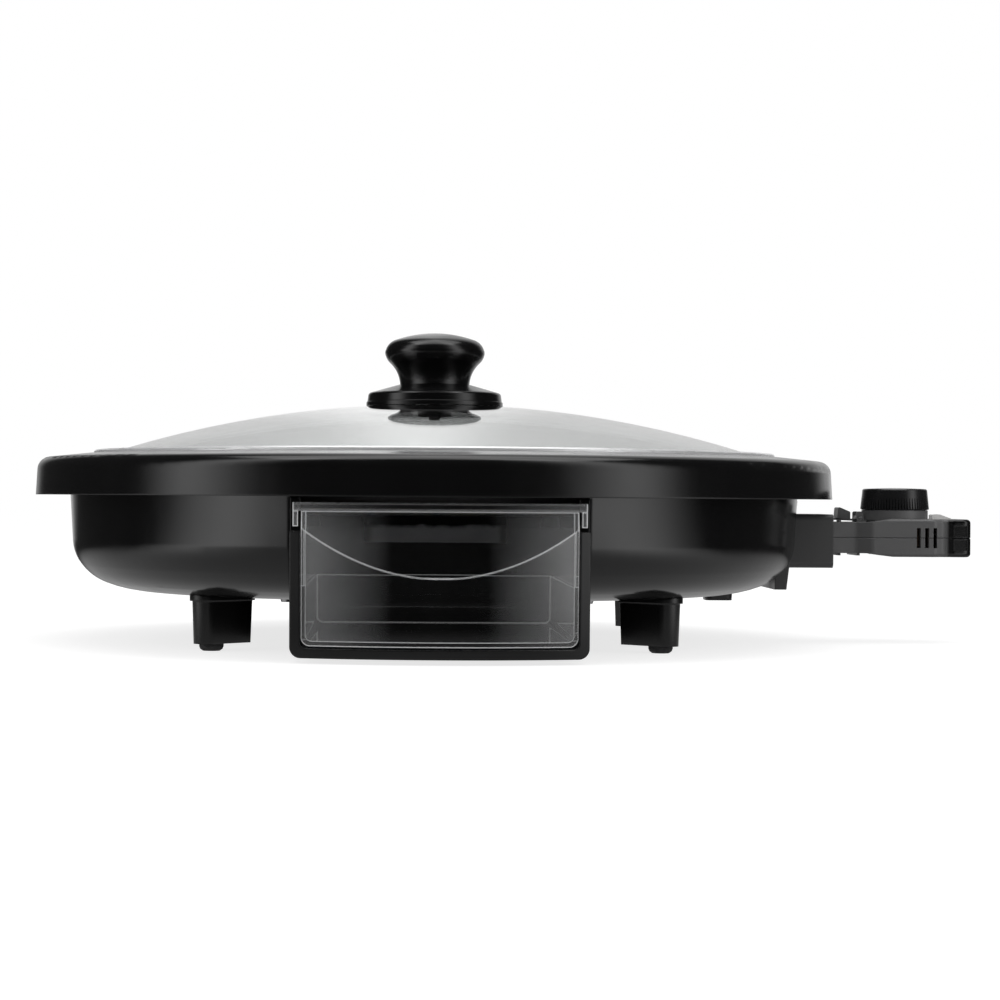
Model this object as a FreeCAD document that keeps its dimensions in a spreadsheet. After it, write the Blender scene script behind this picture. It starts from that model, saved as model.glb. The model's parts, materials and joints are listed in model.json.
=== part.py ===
import FreeCAD, Part
import Sketcher
import math
import os

# Round electric table grill with a lift-off glass lid, a grease drawer at the front and a plug-in thermostat.
# The model stands on z = 0 with its front towards -Y. Every piece is drawn about the plate's own axis and then
# moved along X, so that the origin lies under the middle of the whole object. Lengths are in millimetres.

SIZES = {
    # Feet
    "pad_height": 3.5,
    "pad_radius": 6.0,
    "foot_height": 23.0,
    "foot_width": 12.0,
    "foot_length": 30.0,
    "foot_draft": 2.0,
    "foot_circle": "shell_radius - 36.9",
    "pad_inset": 3.5,
    "pad_stem_radius": 2.5,
    "pad_stem_length": 5.5,
    "foot_flange": 2.0,
    "foot_spare": 1.5,
    "foot_screw_depth": 14.0,
    "front_foot_angle": 43.5,
    "rear_foot_angle": 35.0,
    # Base shell
    "shell_radius": "rim_radius - 17.5",
    "shell_height": 49.5,
    "shell_wall": 2.5,
    "shell_waist": "shell_radius - 2.2",
    "waist_height": 19.0,
    "waist_round": 22.0,
    "belly_reach": "shell_radius - 11.5",
    "belly_height": 7.0,
    "belly_round": 28.0,
    "floor_reach": "shell_radius - 29.5",
    "floor_round": 60.0,
    "shell_flange_width": 14.5,
    "vent_count": 5,
    "vent_start": 60.0,
    "vent_pitch": 10.0,
    "vent_half_length": 22.0,
    "vent_radius": 2.0,
    # Rim ring
    "rim_radius": 210.0,
    "rim_height": 21.5,
    "rim_drop": 2.5,
    "rim_top_inner": "rim_radius - 26",
    "rim_round": 6.5,
    "rim_lean": 1.1,
    "ring_wall": 2.5,
    "ledge_width": 8.0,
    "skirt_ribs": 12,
    "skirt_rib_sheet": 2.0,
    "locating_depth": 5.0,
    # Plate
    "plate_gap": 0.5,
    "plate_recess": 7.0,
    "flange_thickness": 4.0,
    "flange_width": 21.5,
    "plate_depth": 12.5,
    "plate_thickness": 4.0,
    "plate_slope": 6.0,
    "rib_height": 3.0,
    "rib_width": 4.5,
    "rib_pitch": 14.0,
    "rib_zone": "rim_radius - 61",
    "drain_centre": 55.0,
    "drain_width": 5.0,
    "drain_length": 16.0,
    # Heating element and what holds it
    "element_radius": 3.5,
    "element_circle": "rim_radius - 85",
    "element_gap_angle": 14.0,
    "bead_width": 13.0,
    "bead_depth": 3.8,
    "clamp_width": 10.0,
    "clamp_reach": 15.0,
    "clamp_thickness": 1.5,
    "clamp_screw_offset": 11.5,
    "terminal_offset": 11.0,
    "terminal_radius": 2.4,
    "terminal_start": "guard_inner - 7",
    "terminal_end": "neck_start + 16.5",
    "insulator_radius": 5.5,
    # Plate fixing
    "pillar_circle": "rim_radius - 60",
    "front_pillar_angle": 20.0,
    "rear_pillar_angle": 62.0,
    "pillar_radius": 7.5,
    "boss_radius": 5.5,
    "boss_length": 16.0,
    "screw_seat_height": 17.5,
    "small_boss_radius": 3.8,
    "screw_boss_length": 12.0,
    # Reflector and chute
    "reflector_drop": 8.5,
    "reflector_radius": "rim_radius - 45",
    "reflector_lip": 9.0,
    "sheet_thickness": 0.8,
    "chute_width": 74.0,
    "chute_depth": 30.0,
    "chute_length": 21.0,
    "chute_wall": 3.0,
    "chute_flange": 12.0,
    "chute_screw_offset": 7.0,
    "chute_drop": 3.0,
    # Tray housing
    "housing_clear": 2.5,
    "housing_half_width": 68.3,
    "side_draft": 0.3,
    "housing_wall": 4.8,
    "housing_floor": 4.5,
    "housing_front": "rim_radius - 4",
    "housing_back": 14.0,
    "housing_inner_height": 57.5,
    "housing_flange": 10.0,
    "housing_flange_front": "rim_radius - 82",
    "frame_depth": 27.0,
    "frame_gap": 0.5,
    "rail_depth": 2.0,
    "rail_height": 2.0,
    "rail_length": 96.0,
    "rail_level": 41.0,
    "rail_pitch": 7.0,
    # Drip tray
    "tray_gap": 0.5,
    "tray_rise": 1.0,
    "tray_wall": 2.0,
    "tray_front": "housing_front - 1.2",
    "tray_back": "housing_back + 5",
    "tray_front_height": 65.3,
    "tray_wall_height": 27.0,
    "facet_foot": 31.0,
    "facet_lean": 24.0,
    "tray_front_depth": 17.0,
    "lip_height": 4.0,
    "lip_depth": 4.0,
    "lip_half_width": 67.2,
    "ear_drop": 11.0,
    "ear_sheet": 2.4,
    # Lid
    "lid_seat": 0.2,
    "lid_radius": "rim_radius - 30",
    "glass_inset": 1.0,
    "glass_sphere": "lid_radius * 3.0667",
    "glass_rise": "glass_sphere - sqrt(glass_sphere ^ 2 - lid_radius ^ 2) + lid_edge_rise",
    "lid_edge_rise": 4.63,
    "glass_thickness": 3.5,
    "glass_hole": 5.0,
    "band_sheet": 0.8,
    "band_lap": 6.0,
    "band_rise": 2.3,
    # Knob
    "knob_plate_radius": 36.4,
    "knob_plate_height": 10.4,
    "knob_plate_edge": 6.0,
    "knob_plate_wall": 2.4,
    "knob_neck_radius": 18.5,
    "knob_radius": 26.6,
    "knob_height": 38.0,
    "knob_dome": 8.8,
    "knob_stem_radius": 8.0,
    "insert_radius": 3.5,
    "insert_length": 10.0,
    "washer_radius": 9.0,
    "washer_thickness": 1.5,
    # Socket guard
    "probe_drop": 20.0,
    "guard_half_width": 24.0,
    "guard_top_reach": "rim_radius - 19.3",
    "guard_foot_reach": "rim_radius - 24.8",
    "guard_inner": "rim_radius - 31",
    "guard_web": 3.0,
    "sleeve_end": "rim_radius",
    "sleeve_half_width": 23.0,
    "sleeve_below": 16.0,
    "sleeve_above": 12.2,
    "arm_notch": 9.0,
    "guard_screw_reach": "rim_radius - 58",
    "tongue_depth": 4.5,
    "tongue_half_length": 7.0,
    "tongue_half_width": 8.0,
    "leg_width": 13.0,
    # Thermostat
    "neck_start": "rim_radius - 23.5",
    "neck_half_width": 17.2,
    "neck_half_height": 8.2,
    "neck_end": "rim_radius + 16",
    "neck_clear": 0.4,
    "case_end": "neck_end + 57.7",
    "case_half_width": 22.0,
    "case_half_height": 10.0,
    "case_wall": 2.2,
    "case_corner": 5.0,
    "waist_depth": 2.8,
    "grip_start": "neck_end + 38",
    "rod_radius": 3.1,
    "rod_tip": "rim_radius - 98",
    "block_start": "neck_end + 6",
    "block_end": "neck_end + 35",
    "block_half_width": 13.5,
    "contact_radius": 3.5,
    "contact_length": 18.5,
    "dial_centre": "neck_end + 20.8",
    "dial_radius": 18.1,
    "dial_top_radius": 17.1,
    "dial_height": 11.1,
    "dial_gap": 0.3,
    "dial_socket": 7.0,
    "collar_radius": 17.5,
    "collar_height": 4.5,
    "knurl_count": 72,
    "knurl_depth": 0.9,
    "knurl_height": 6.3,
    "slot_width": 2.0,
    "slot_height": 10.5,
    "slot_pitch": 4.4,
    "slot_start": "neck_end + 29.2",
    "lens_start": "neck_end + 40.2",
    "lens_length": 10.5,
    "lens_height": 2.5,
    "lens_half_width": 4.5,
    "lamp_radius": 1.8,
    "shaft_radius": 3.0,
    "cord_hole": 3.5,
    "bush_wall": 1.7,
    "case_boss_radius": 2.6,
    "case_screw_radius": 1.1,
    "case_screw_head": 2.0,
    "cord_place": "neck_end + 28",
    "bush_length": 7.0,
    # Release lever
    "pivot_reach": "neck_end + 1.2",
    "pivot_rise": 10.3,
    "pin_radius": 1.0,
    "lever_hub": 1.8,
    "lever_tip": "rim_radius - 11",
    "thumb_start": "pivot_reach - 12.2",
    "thumb_end": "pivot_reach - 5.2",
    "thumb_thickness": 6.0,
    "ear_gap": 4.7,
    "ear_thickness": 2.0,
    # Small shared values
    "small_gap": 0.3,
    "fit_gap": 0.1,
    "screw_radius": 1.9,
    "screw_head_radius": 3.6,
    "screw_head_height": 2.4,
    "small_screw_radius": 1.4,
    "small_head_radius": 2.7,
    "small_head_height": 1.8,
}


class Size:
    """A length: its value now, and the sheet expression that keeps a feature bound to it."""

    def __init__(self, value, text):
        self.value = value
        self.text = text

    def joined(self, other, sign, value):
        return Size(value, f"({self.text} {sign} {size(other).text})")

    def __add__(self, other):
        return self.joined(other, "+", self.value + size(other).value)

    def __sub__(self, other):
        return self.joined(other, "-", self.value - size(other).value)

    def __mul__(self, other):
        return self.joined(other, "*", self.value * size(other).value)

    def __truediv__(self, other):
        return self.joined(other, "/", self.value / size(other).value)

    def __radd__(self, other):
        return size(other) + self

    def __rsub__(self, other):
        return size(other) - self

    def __rmul__(self, other):
        return size(other) * self

    def __neg__(self):
        return Size(-self.value, f"(0 - {self.text})")


def size(number):
    """A plain number as a Size, and a Size as it is."""
    if isinstance(number, Size):
        return number
    return Size(float(number), f"{float(number)!r}")


def cosine(angle):
    return Size(math.cos(math.radians(angle.value)), f"cos({angle.text})")


def sine(angle):
    return Size(math.sin(math.radians(angle.value)), f"sin({angle.text})")


def tangent(angle):
    return Size(math.tan(math.radians(angle.value)), f"tan({angle.text})")


def root(number):
    return Size(math.sqrt(number.value), f"sqrt({number.text})")


class Sheet:
    """The spreadsheet of sizes, read as attributes. A size that is text is worked out from the others."""

    def __init__(self, document, sizes):
        self.table = document.addObject("Spreadsheet::Sheet", "Sizes")
        for row, (name, value) in enumerate(sizes.items(), 1):
            self.table.set(f"A{row}", name)
            self.table.set(f"B{row}", f"={value}" if isinstance(value, str) else str(value))
            self.table.setAlias(f"B{row}", name)
        document.recompute()

    def __getattr__(self, name):
        return Size(float(self.table.get(name)), f"Sizes.{name}")


doc = FreeCAD.newDocument("TableGrill")
s = Sheet(doc, SIZES)
pieces = []

# Levels above the table, and the plate axis in X
floor_z = s.pad_height + s.foot_height
rim_z = floor_z + s.shell_height
rim_top_z = rim_z + s.rim_height
flange_z = rim_top_z - s.plate_recess
ledge_z = flange_z - s.flange_thickness
shell_top_z = ledge_z - s.ring_wall
cook_z = flange_z - s.plate_depth
plate_under_z = cook_z - s.plate_thickness
element_z = plate_under_z - s.bead_depth
probe_z = rim_z - s.probe_drop
boss_end_z = plate_under_z - s.boss_length
reflector_z = probe_z - s.reflector_drop
tray_z = s.housing_clear + s.housing_floor + s.tray_rise
glass_top_z = flange_z + s.glass_rise
inside_floor_z = floor_z + s.shell_wall
chute_screw_reach = s.chute_width / 2 + s.chute_screw_offset
plate_axis_x = (s.rim_radius - s.case_end) / 2


def bind(thing, prop, length):
    """Sets a property to a size and keeps it bound to the sheet."""
    thing.setExpression(prop, size(length).text)


def new_body(name, x=0, y=0, angle=0):
    """An empty body that stands on the plate's axis, or off it, or is turned about it."""
    body = doc.addObject("PartDesign::Body", name)
    body.Label = name
    body.Placement.Rotation = FreeCAD.Rotation(FreeCAD.Vector(0, 0, 1), size(angle).value)
    bind(body, "Placement.Base.x", plate_axis_x + x)
    bind(body, "Placement.Base.y", y)
    if size(angle).value:
        bind(body, "Placement.Rotation.Angle", angle)
    return body


def keep(piece, name):
    """Lists a finished piece under the name of its file."""
    piece.Label = name
    pieces.append(piece)
    return piece


class Bend:
    """Between two corners: the side bows through this point."""

    def __init__(self, across, up):
        self.across = size(across)
        self.up = size(up)


def dome_bend(radius, base, rise):
    """The bend of a dome that is centred on the axis and ends at a radius, with its rise above base."""
    ball = (radius * radius + rise * rise) / (2 * rise)
    return Bend(radius / 2, base + rise - ball + root(ball * ball - radius * radius / 4))


def spot(across, up):
    """A point of a sketch from two sizes."""
    return FreeCAD.Vector(size(across).value, size(up).value, 0)


def rounding(before, corner, after):
    """Where a rounded corner's arc meets its two sides, and its centre."""
    here = spot(*corner[:2])
    back = (spot(*before[:2]) - here).normalize()
    ahead = (spot(*after[:2]) - here).normalize()
    half = back.getAngle(ahead) / 2
    reach = corner[2].value / math.tan(half)
    centre = here + (back + ahead).normalize() * (corner[2].value / math.sin(half))
    return here + back * reach, here + ahead * reach, centre


def arc_about(centre, start, end):
    """The shorter arc from start to end, and whether it had to be drawn from its end."""
    first = math.atan2(start.y - centre.y, start.x - centre.x)
    last = math.atan2(end.y - centre.y, end.x - centre.x)
    turned = (last - first) % (2 * math.pi) > math.pi
    if turned:
        first, last = last, first
    circle = Part.Circle(centre, FreeCAD.Vector(0, 0, 1), start.distanceToPoint(centre))
    return Part.ArcOfCircle(circle, first, last), turned


class Drawing:
    """A sketch on one of a body's own planes. Its lines are collected and added all at once by done()."""

    def __init__(self, body, plane, lift=0):
        support = [f for f in body.Origin.OriginFeatures if f.Role == f"{plane}_Plane"][0]
        self.sketch = body.newObject("Sketcher::SketchObject", f"{body.Name}_sketch")
        self.sketch.AttachmentSupport = (support, [""])
        self.sketch.MapMode = "FlatFace"
        bind(self.sketch, "AttachmentOffset.Base.z", lift)
        self.lines = 0
        self.rules = []
        self.bound = []

    def add(self, geometry, helper=False):
        """Adds a line, arc, circle or helping point."""
        self.sketch.addGeometry(geometry, helper)
        self.lines += 1
        return self.lines - 1

    def rule(self, kind, *members):
        self.rules.append(Sketcher.Constraint(kind, *members))

    def measure(self, kind, length, *members):
        """A dimension that stays bound to a size."""
        length = size(length)
        self.bound.append((len(self.rules), length))
        self.rules.append(Sketcher.Constraint(kind, *members, length.value))

    def hold(self, geometry, point, across, up):
        """Holds one point at two bound distances from the sketch's origin."""
        self.measure("DistanceX", across, geometry, point)
        self.measure("DistanceY", up, geometry, point)

    def circle(self, across, up, radius):
        radius = size(radius)
        ring = self.add(Part.Circle(spot(across, up), FreeCAD.Vector(0, 0, 1), radius.value))
        self.hold(ring, 3, across, up)
        self.measure("Radius", radius, ring)

    def box(self, left, right, low, high, round_by=None):
        """A rectangle with its corners rounded or square."""
        tail = () if round_by is None else (round_by,)
        self.outline((left, low) + tail, (right, low) + tail, (right, high) + tail, (left, high) + tail)

    def slot(self, start, end, radius):
        """A slot with round ends about two centres that lie across from or above each other."""
        radius = size(radius)
        one, two = spot(*start), spot(*end)
        way = (two - one).normalize()
        left = FreeCAD.Vector(-way.y, way.x, 0) * radius.value
        near = Part.Arc(one + left, one - way * radius.value, one - left)
        far = Part.Arc(two - left, two + way * radius.value, two + left)
        ends = [self.add(near), self.add(far)]
        right_side = self.add(Part.LineSegment(one - left, two - left))
        left_side = self.add(Part.LineSegment(two + left, one + left))
        self.rule("Tangent", ends[0], 2, right_side, 1)
        self.rule("Tangent", right_side, 2, ends[1], 1)
        self.rule("Tangent", ends[1], 2, left_side, 1)
        self.rule("Tangent", left_side, 2, ends[0], 1)
        self.hold(ends[0], 3, *start)
        self.hold(ends[1], 3, *end)
        self.measure("Radius", radius, ends[0])

    def outline(self, *steps):
        """A closed outline. A corner is (across, up) or (across, up, rounding); a Bend may follow it."""
        corners = []
        bends = {}
        for step in steps:
            if isinstance(step, Bend):
                bends[len(corners) - 1] = step
            else:
                corners.append(tuple(size(part) for part in step))
        joins = []
        for n, corner in enumerate(corners):
            if len(corner) == 3:
                joins.append(rounding(corners[n - 1], corner, corners[(n + 1) % len(corners)]))
            else:
                joins.append((spot(*corner), spot(*corner), None))
        sides = []
        for n in range(len(corners)):
            start = joins[n][1]
            end = joins[(n + 1) % len(corners)][0]
            sides.append(self.side(start, end, bends.get(n)))
        for n, corner in enumerate(corners):
            self.corner(corner, joins[n], sides[n - 1], sides[n])

    def side(self, start, end, bend):
        """One straight or bowed side: its number, and which of its ends come first and last."""
        if bend is None:
            return self.add(Part.LineSegment(start, end)), 1, 2
        middle = spot(bend.across, bend.up)
        forward = (middle - start).cross(end - middle).z > 0
        first, last = (start, end) if forward else (end, start)
        curve = self.add(Part.Arc(first, middle, last))
        mark = self.add(Part.Point(middle), True)
        self.hold(mark, 1, bend.across, bend.up)
        self.rule("PointOnObject", mark, 1, curve)
        return (curve, 1, 2) if forward else (curve, 2, 1)

    def corner(self, corner, join, side_in, side_out):
        """Joins two sides at a sharp or a rounded corner and holds the corner's place."""
        if join[2] is None:
            self.rule("Coincident", side_in[0], side_in[2], side_out[0], side_out[1])
            self.hold(side_out[0], side_out[1], *corner)
            return
        arc, turned = arc_about(join[2], join[0], join[1])
        curve = self.add(arc)
        first, last = (2, 1) if turned else (1, 2)
        mark = self.add(Part.Point(spot(*corner[:2])), True)
        self.rule("Tangent", side_in[0], side_in[2], curve, first)
        self.rule("Tangent", curve, last, side_out[0], side_out[1])
        self.rule("PointOnObject", mark, 1, side_in[0])
        self.rule("PointOnObject", mark, 1, side_out[0])
        self.measure("Radius", corner[2], curve)
        self.hold(mark, 1, *corner[:2])

    def done(self):
        """Adds what was collected and gives the sketch."""
        self.sketch.addConstraint(self.rules)
        for place, length in self.bound:
            bind(self.sketch, f"Constraints[{place}]", length)
        return self.sketch


def turn(body, drawing, cut=False):
    """Revolves a sketch about the body's upright axis, to add or to cut."""
    feature = body.newObject("PartDesign::Groove" if cut else "PartDesign::Revolution", f"{body.Name}_turn")
    feature.Profile = drawing.done()
    feature.ReferenceAxis = (drawing.sketch, ["V_Axis"])
    feature.Angle = 360
    return feature


def pad(body, drawing, length, both_ways=False, backwards=False, draft=0):
    """Pads a sketch along its normal; both_ways puts it half on each side."""
    feature = body.newObject("PartDesign::Pad", f"{body.Name}_pad")
    feature.Profile = drawing.done()
    bind(feature, "Length", length)
    feature.SideType = "Symmetric" if both_ways else "One side"
    feature.Reversed = backwards
    bind(feature, "TaperAngle", draft)
    return feature


def cut(body, drawing, length, both_ways=False, along_normal=False):
    """Cuts a sketch into the body, against its normal unless along_normal is set."""
    feature = body.newObject("PartDesign::Pocket", f"{body.Name}_cut")
    feature.Profile = drawing.done()
    bind(feature, "Length", length)
    feature.SideType = "Symmetric" if both_ways else "One side"
    feature.Reversed = along_normal
    return feature


def around(body, feature, count):
    """Repeats a feature evenly round the body's upright axis."""
    pattern = body.newObject("PartDesign::PolarPattern", f"{body.Name}_around")
    pattern.Originals = [feature]
    pattern.Axis = ([f for f in body.Origin.OriginFeatures if f.Role == "Z_Axis"][0], [""])
    pattern.Angle = 360
    bind(pattern, "Occurrences", count)
    body.Tip = pattern
    return pattern


def edge_names(feature, wanted):
    """Names of a feature's edges for which wanted(edge) is true."""
    doc.recompute()
    return [f"Edge{n}" for n, edge in enumerate(feature.Shape.Edges, 1) if wanted(edge)]


def soften(body, feature, wanted, radius):
    """Rounds the edges of a feature that wanted picks."""
    fillet = body.newObject("PartDesign::Fillet", f"{body.Name}_fillet")
    fillet.Base = (feature, edge_names(feature, wanted))
    bind(fillet, "Radius", radius)
    return fillet


def bevel(body, feature, wanted, width):
    """Cuts the edges of a feature that wanted picks at 45 degrees."""
    chamfer = body.newObject("PartDesign::Chamfer", f"{body.Name}_bevel")
    chamfer.Base = (feature, edge_names(feature, wanted))
    bind(chamfer, "Size", width)
    return chamfer


def post(name, x, y, z, radius, height):
    """An upright cylinder that stands at a place measured from the plate's axis."""
    cylinder = doc.addObject("Part::Cylinder", name)
    bind(cylinder, "Radius", radius)
    bind(cylinder, "Height", height)
    bind(cylinder, "Placement.Base.x", plate_axis_x + x)
    bind(cylinder, "Placement.Base.y", y)
    bind(cylinder, "Placement.Base.z", z)
    return cylinder


def rod(name, start, end, y, z, radius):
    """A cylinder that lies along X from start to end."""
    cylinder = post(name, start, y, z, radius, end - start)
    cylinder.Placement.Rotation = FreeCAD.Rotation(FreeCAD.Vector(0, 1, 0), 90)
    return cylinder


def screw(name, x, y, seat, length, small=False):
    """A pan-head screw that points up from its seat, with its head below."""
    head = s.small_head_radius if small else s.screw_head_radius
    deep = s.small_head_height if small else s.screw_head_height
    shank = s.small_screw_radius if small else s.screw_radius
    cap = doc.addObject("Part::Cone", f"{name}_head")
    bind(cap, "Radius1", head * 0.75)
    bind(cap, "Radius2", head)
    bind(cap, "Height", deep)
    bind(cap, "Placement.Base.x", plate_axis_x + x)
    bind(cap, "Placement.Base.y", y)
    bind(cap, "Placement.Base.z", seat - deep)
    whole = doc.addObject("Part::Fuse", name)
    whole.Base = cap
    whole.Tool = post(f"{name}_shank", x, y, seat, shank, length)
    return whole


def group(name, members):
    """Several separate solids kept under one name."""
    compound = doc.addObject("Part::Compound", name)
    compound.Links = members
    return keep(compound, name)


def polar(radius, angle):
    """The x and y of a point at a radius and an angle, in degrees, about the plate's axis."""
    angle = size(angle)
    return radius * cosine(angle), radius * sine(angle)


FOOT_ANGLES = {
    "front_left": 180 + s.front_foot_angle,
    "front_right": 0 - s.front_foot_angle,
    "rear_left": 180 - s.rear_foot_angle,
    "rear_right": s.rear_foot_angle,
}
PILLAR_ANGLES = (0 - s.front_pillar_angle, 180 + s.front_pillar_angle,
                 s.rear_pillar_angle, 180 - s.rear_pillar_angle)
CLAMP_ANGLES = (45, 135, 225, 315)
CHUTE_SCREWS = (-1, 1)


def side_at(height_z, half_width=None):
    """Half the width of the tray housing's drafted side at a level."""
    base = s.housing_half_width if half_width is None else half_width
    return base + (height_z - s.housing_clear) * tangent(s.side_draft)


HOUSING_SCREWS = [
    (side * (side_at(floor_z) + s.housing_flange / 2), -depth)
    for side in (-1, 1) for depth in (s.housing_back + 8, s.housing_flange_front - 8)
]


def make_base_shell():
    body = new_body("base_shell")
    bowl = Drawing(body, "XZ")
    bowl.outline((0, floor_z), (s.floor_reach, floor_z, s.floor_round),
                 (s.belly_reach, floor_z + s.belly_height, s.belly_round),
                 (s.shell_waist, floor_z + s.waist_height, s.waist_round),
                 (s.shell_radius, shell_top_z), (0, shell_top_z))
    solid = turn(body, bowl)
    doc.recompute()
    top = [f"Face{n}" for n, face in enumerate(solid.Shape.Faces, 1)
           if abs(face.CenterOfMass.z - shell_top_z.value) < 0.01][0]
    hollow = body.newObject("PartDesign::Thickness", "base_shell_hollow")
    hollow.Base = (solid, [top])
    bind(hollow, "Value", s.shell_wall)
    hollow.Reversed = True
    hollow.Join = 1
    flange = Drawing(body, "XZ")
    flange.box(s.shell_radius - s.shell_wall - s.shell_flange_width, s.shell_radius - s.shell_wall / 2,
               shell_top_z - s.shell_wall, shell_top_z)
    turn(body, flange)
    pillars = Drawing(body, "XY", floor_z + s.shell_wall / 2)
    stems = Drawing(body, "XY", floor_z + s.shell_wall / 2)
    for angle in PILLAR_ANGLES:
        pillars.circle(*polar(s.pillar_circle, angle), s.pillar_radius)
        stems.circle(*polar(s.pillar_circle, angle), s.boss_radius)
    pad(body, pillars, reflector_z - floor_z - s.shell_wall / 2)
    pad(body, stems, boss_end_z - floor_z - s.shell_wall / 2 - s.small_gap)
    foot_bosses = Drawing(body, "XY", floor_z + s.shell_wall / 2)
    for angle in FOOT_ANGLES.values():
        foot_bosses.circle(*polar(s.foot_circle - s.foot_width, angle), s.boss_radius - 1)
    pad(body, foot_bosses, s.screw_boss_length)
    tongue = Drawing(body, "XY", floor_z - s.tongue_depth)
    tongue.box(s.guard_screw_reach - s.tongue_half_length, s.guard_screw_reach + s.tongue_half_length,
               -s.tongue_half_width, s.tongue_half_width, 3)
    pad(body, tongue, s.shell_wall / 2 + s.tongue_depth, draft=3)
    mouth = Drawing(body, "XZ", s.housing_back - s.frame_gap)
    low, high = floor_z - 1, rim_z
    mouth.outline((-side_at(low) - s.frame_gap, low), (side_at(low) + s.frame_gap, low),
                  (side_at(high) + s.frame_gap, high), (-side_at(high) - s.frame_gap, high))
    cut(body, mouth, s.shell_radius, along_normal=True)
    window = Drawing(body, "YZ", s.guard_inner - s.small_gap)
    window.box(-s.guard_half_width - s.small_gap, s.guard_half_width + s.small_gap,
               floor_z + 2 - s.small_gap, rim_z - 1 + s.small_gap)
    cut(body, window, 30, along_normal=True)
    seats = Drawing(body, "XY", floor_z - 1)
    bores = Drawing(body, "XY", floor_z - 1)
    for angle in PILLAR_ANGLES:
        seats.circle(*polar(s.pillar_circle, angle), s.screw_head_radius + s.small_gap)
        bores.circle(*polar(s.pillar_circle, angle), s.screw_radius + s.small_gap)
    cut(body, seats, s.screw_seat_height + 1, along_normal=True)
    cut(body, bores, s.boss_length + s.shell_height, along_normal=True)
    pilots = Drawing(body, "XY", floor_z - 1)
    for angle in FOOT_ANGLES.values():
        pilots.circle(*polar(s.foot_circle - s.foot_width, angle), s.screw_radius + s.fit_gap)
    for place in HOUSING_SCREWS:
        pilots.circle(*place, s.small_screw_radius + s.small_gap)
    cut(body, pilots, 12, along_normal=True)
    guard_hole = Drawing(body, "XY", floor_z - 6)
    guard_hole.circle(s.guard_screw_reach, 0, s.small_screw_radius + s.small_gap)
    cut(body, guard_hole, 12, along_normal=True)
    guard_seat = Drawing(body, "XY", floor_z - 6)
    guard_seat.circle(s.guard_screw_reach, 0, s.small_head_radius + s.small_gap)
    cut(body, guard_seat, 6 - s.tongue_depth + s.small_head_height + s.small_gap, along_normal=True)
    vents = Drawing(body, "XY", floor_z - 1)
    for row in range(int(s.vent_count.value)):
        middle = s.vent_start + s.vent_pitch * row
        vents.slot((-s.vent_half_length, middle), (s.vent_half_length, middle), s.vent_radius)
    cut(body, vents, s.shell_wall + 2, along_normal=True)
    return keep(body, "base_shell")


def make_rim_ring():
    body = new_body("rim_ring")
    wall = s.ring_wall
    shoulder = s.rim_radius - s.rim_lean
    inner = s.rim_top_inner
    edge_z = rim_top_z - s.rim_drop
    locate = s.shell_radius + s.small_gap
    foot_z = shell_top_z - s.locating_depth
    section = Drawing(body, "XZ")
    section.outline((s.rim_radius, rim_z), (shoulder, edge_z, s.rim_round),
                    (inner + 1, rim_top_z), (inner, rim_top_z - 0.7),
                    (inner, ledge_z), (inner - s.ledge_width, ledge_z), (inner - s.ledge_width, shell_top_z),
                    (locate, shell_top_z), (locate, foot_z), (locate + 2, foot_z),
                    (locate + 2, ledge_z), (inner + wall, ledge_z), (inner + wall, rim_top_z - wall),
                    (shoulder - wall, edge_z - wall, s.rim_round - wall), (s.rim_radius - wall, rim_z))
    turn(body, section)
    rib = Drawing(body, "XZ")
    under_z = edge_z - wall + (shoulder - locate) * s.rim_drop / (shoulder - inner)
    rib.outline((locate + 1.5, shell_top_z - 3), (s.rim_radius - wall + 0.5, shell_top_z - 3),
                (shoulder - wall + 1.2, edge_z - wall - 1.5), (shoulder - wall - 1.5, edge_z - wall + 1.2),
                (locate + 1.5, under_z + 0.8))
    around(body, pad(body, rib, s.skirt_rib_sheet, both_ways=True), s.skirt_ribs)
    return keep(body, "rim_ring")


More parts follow.
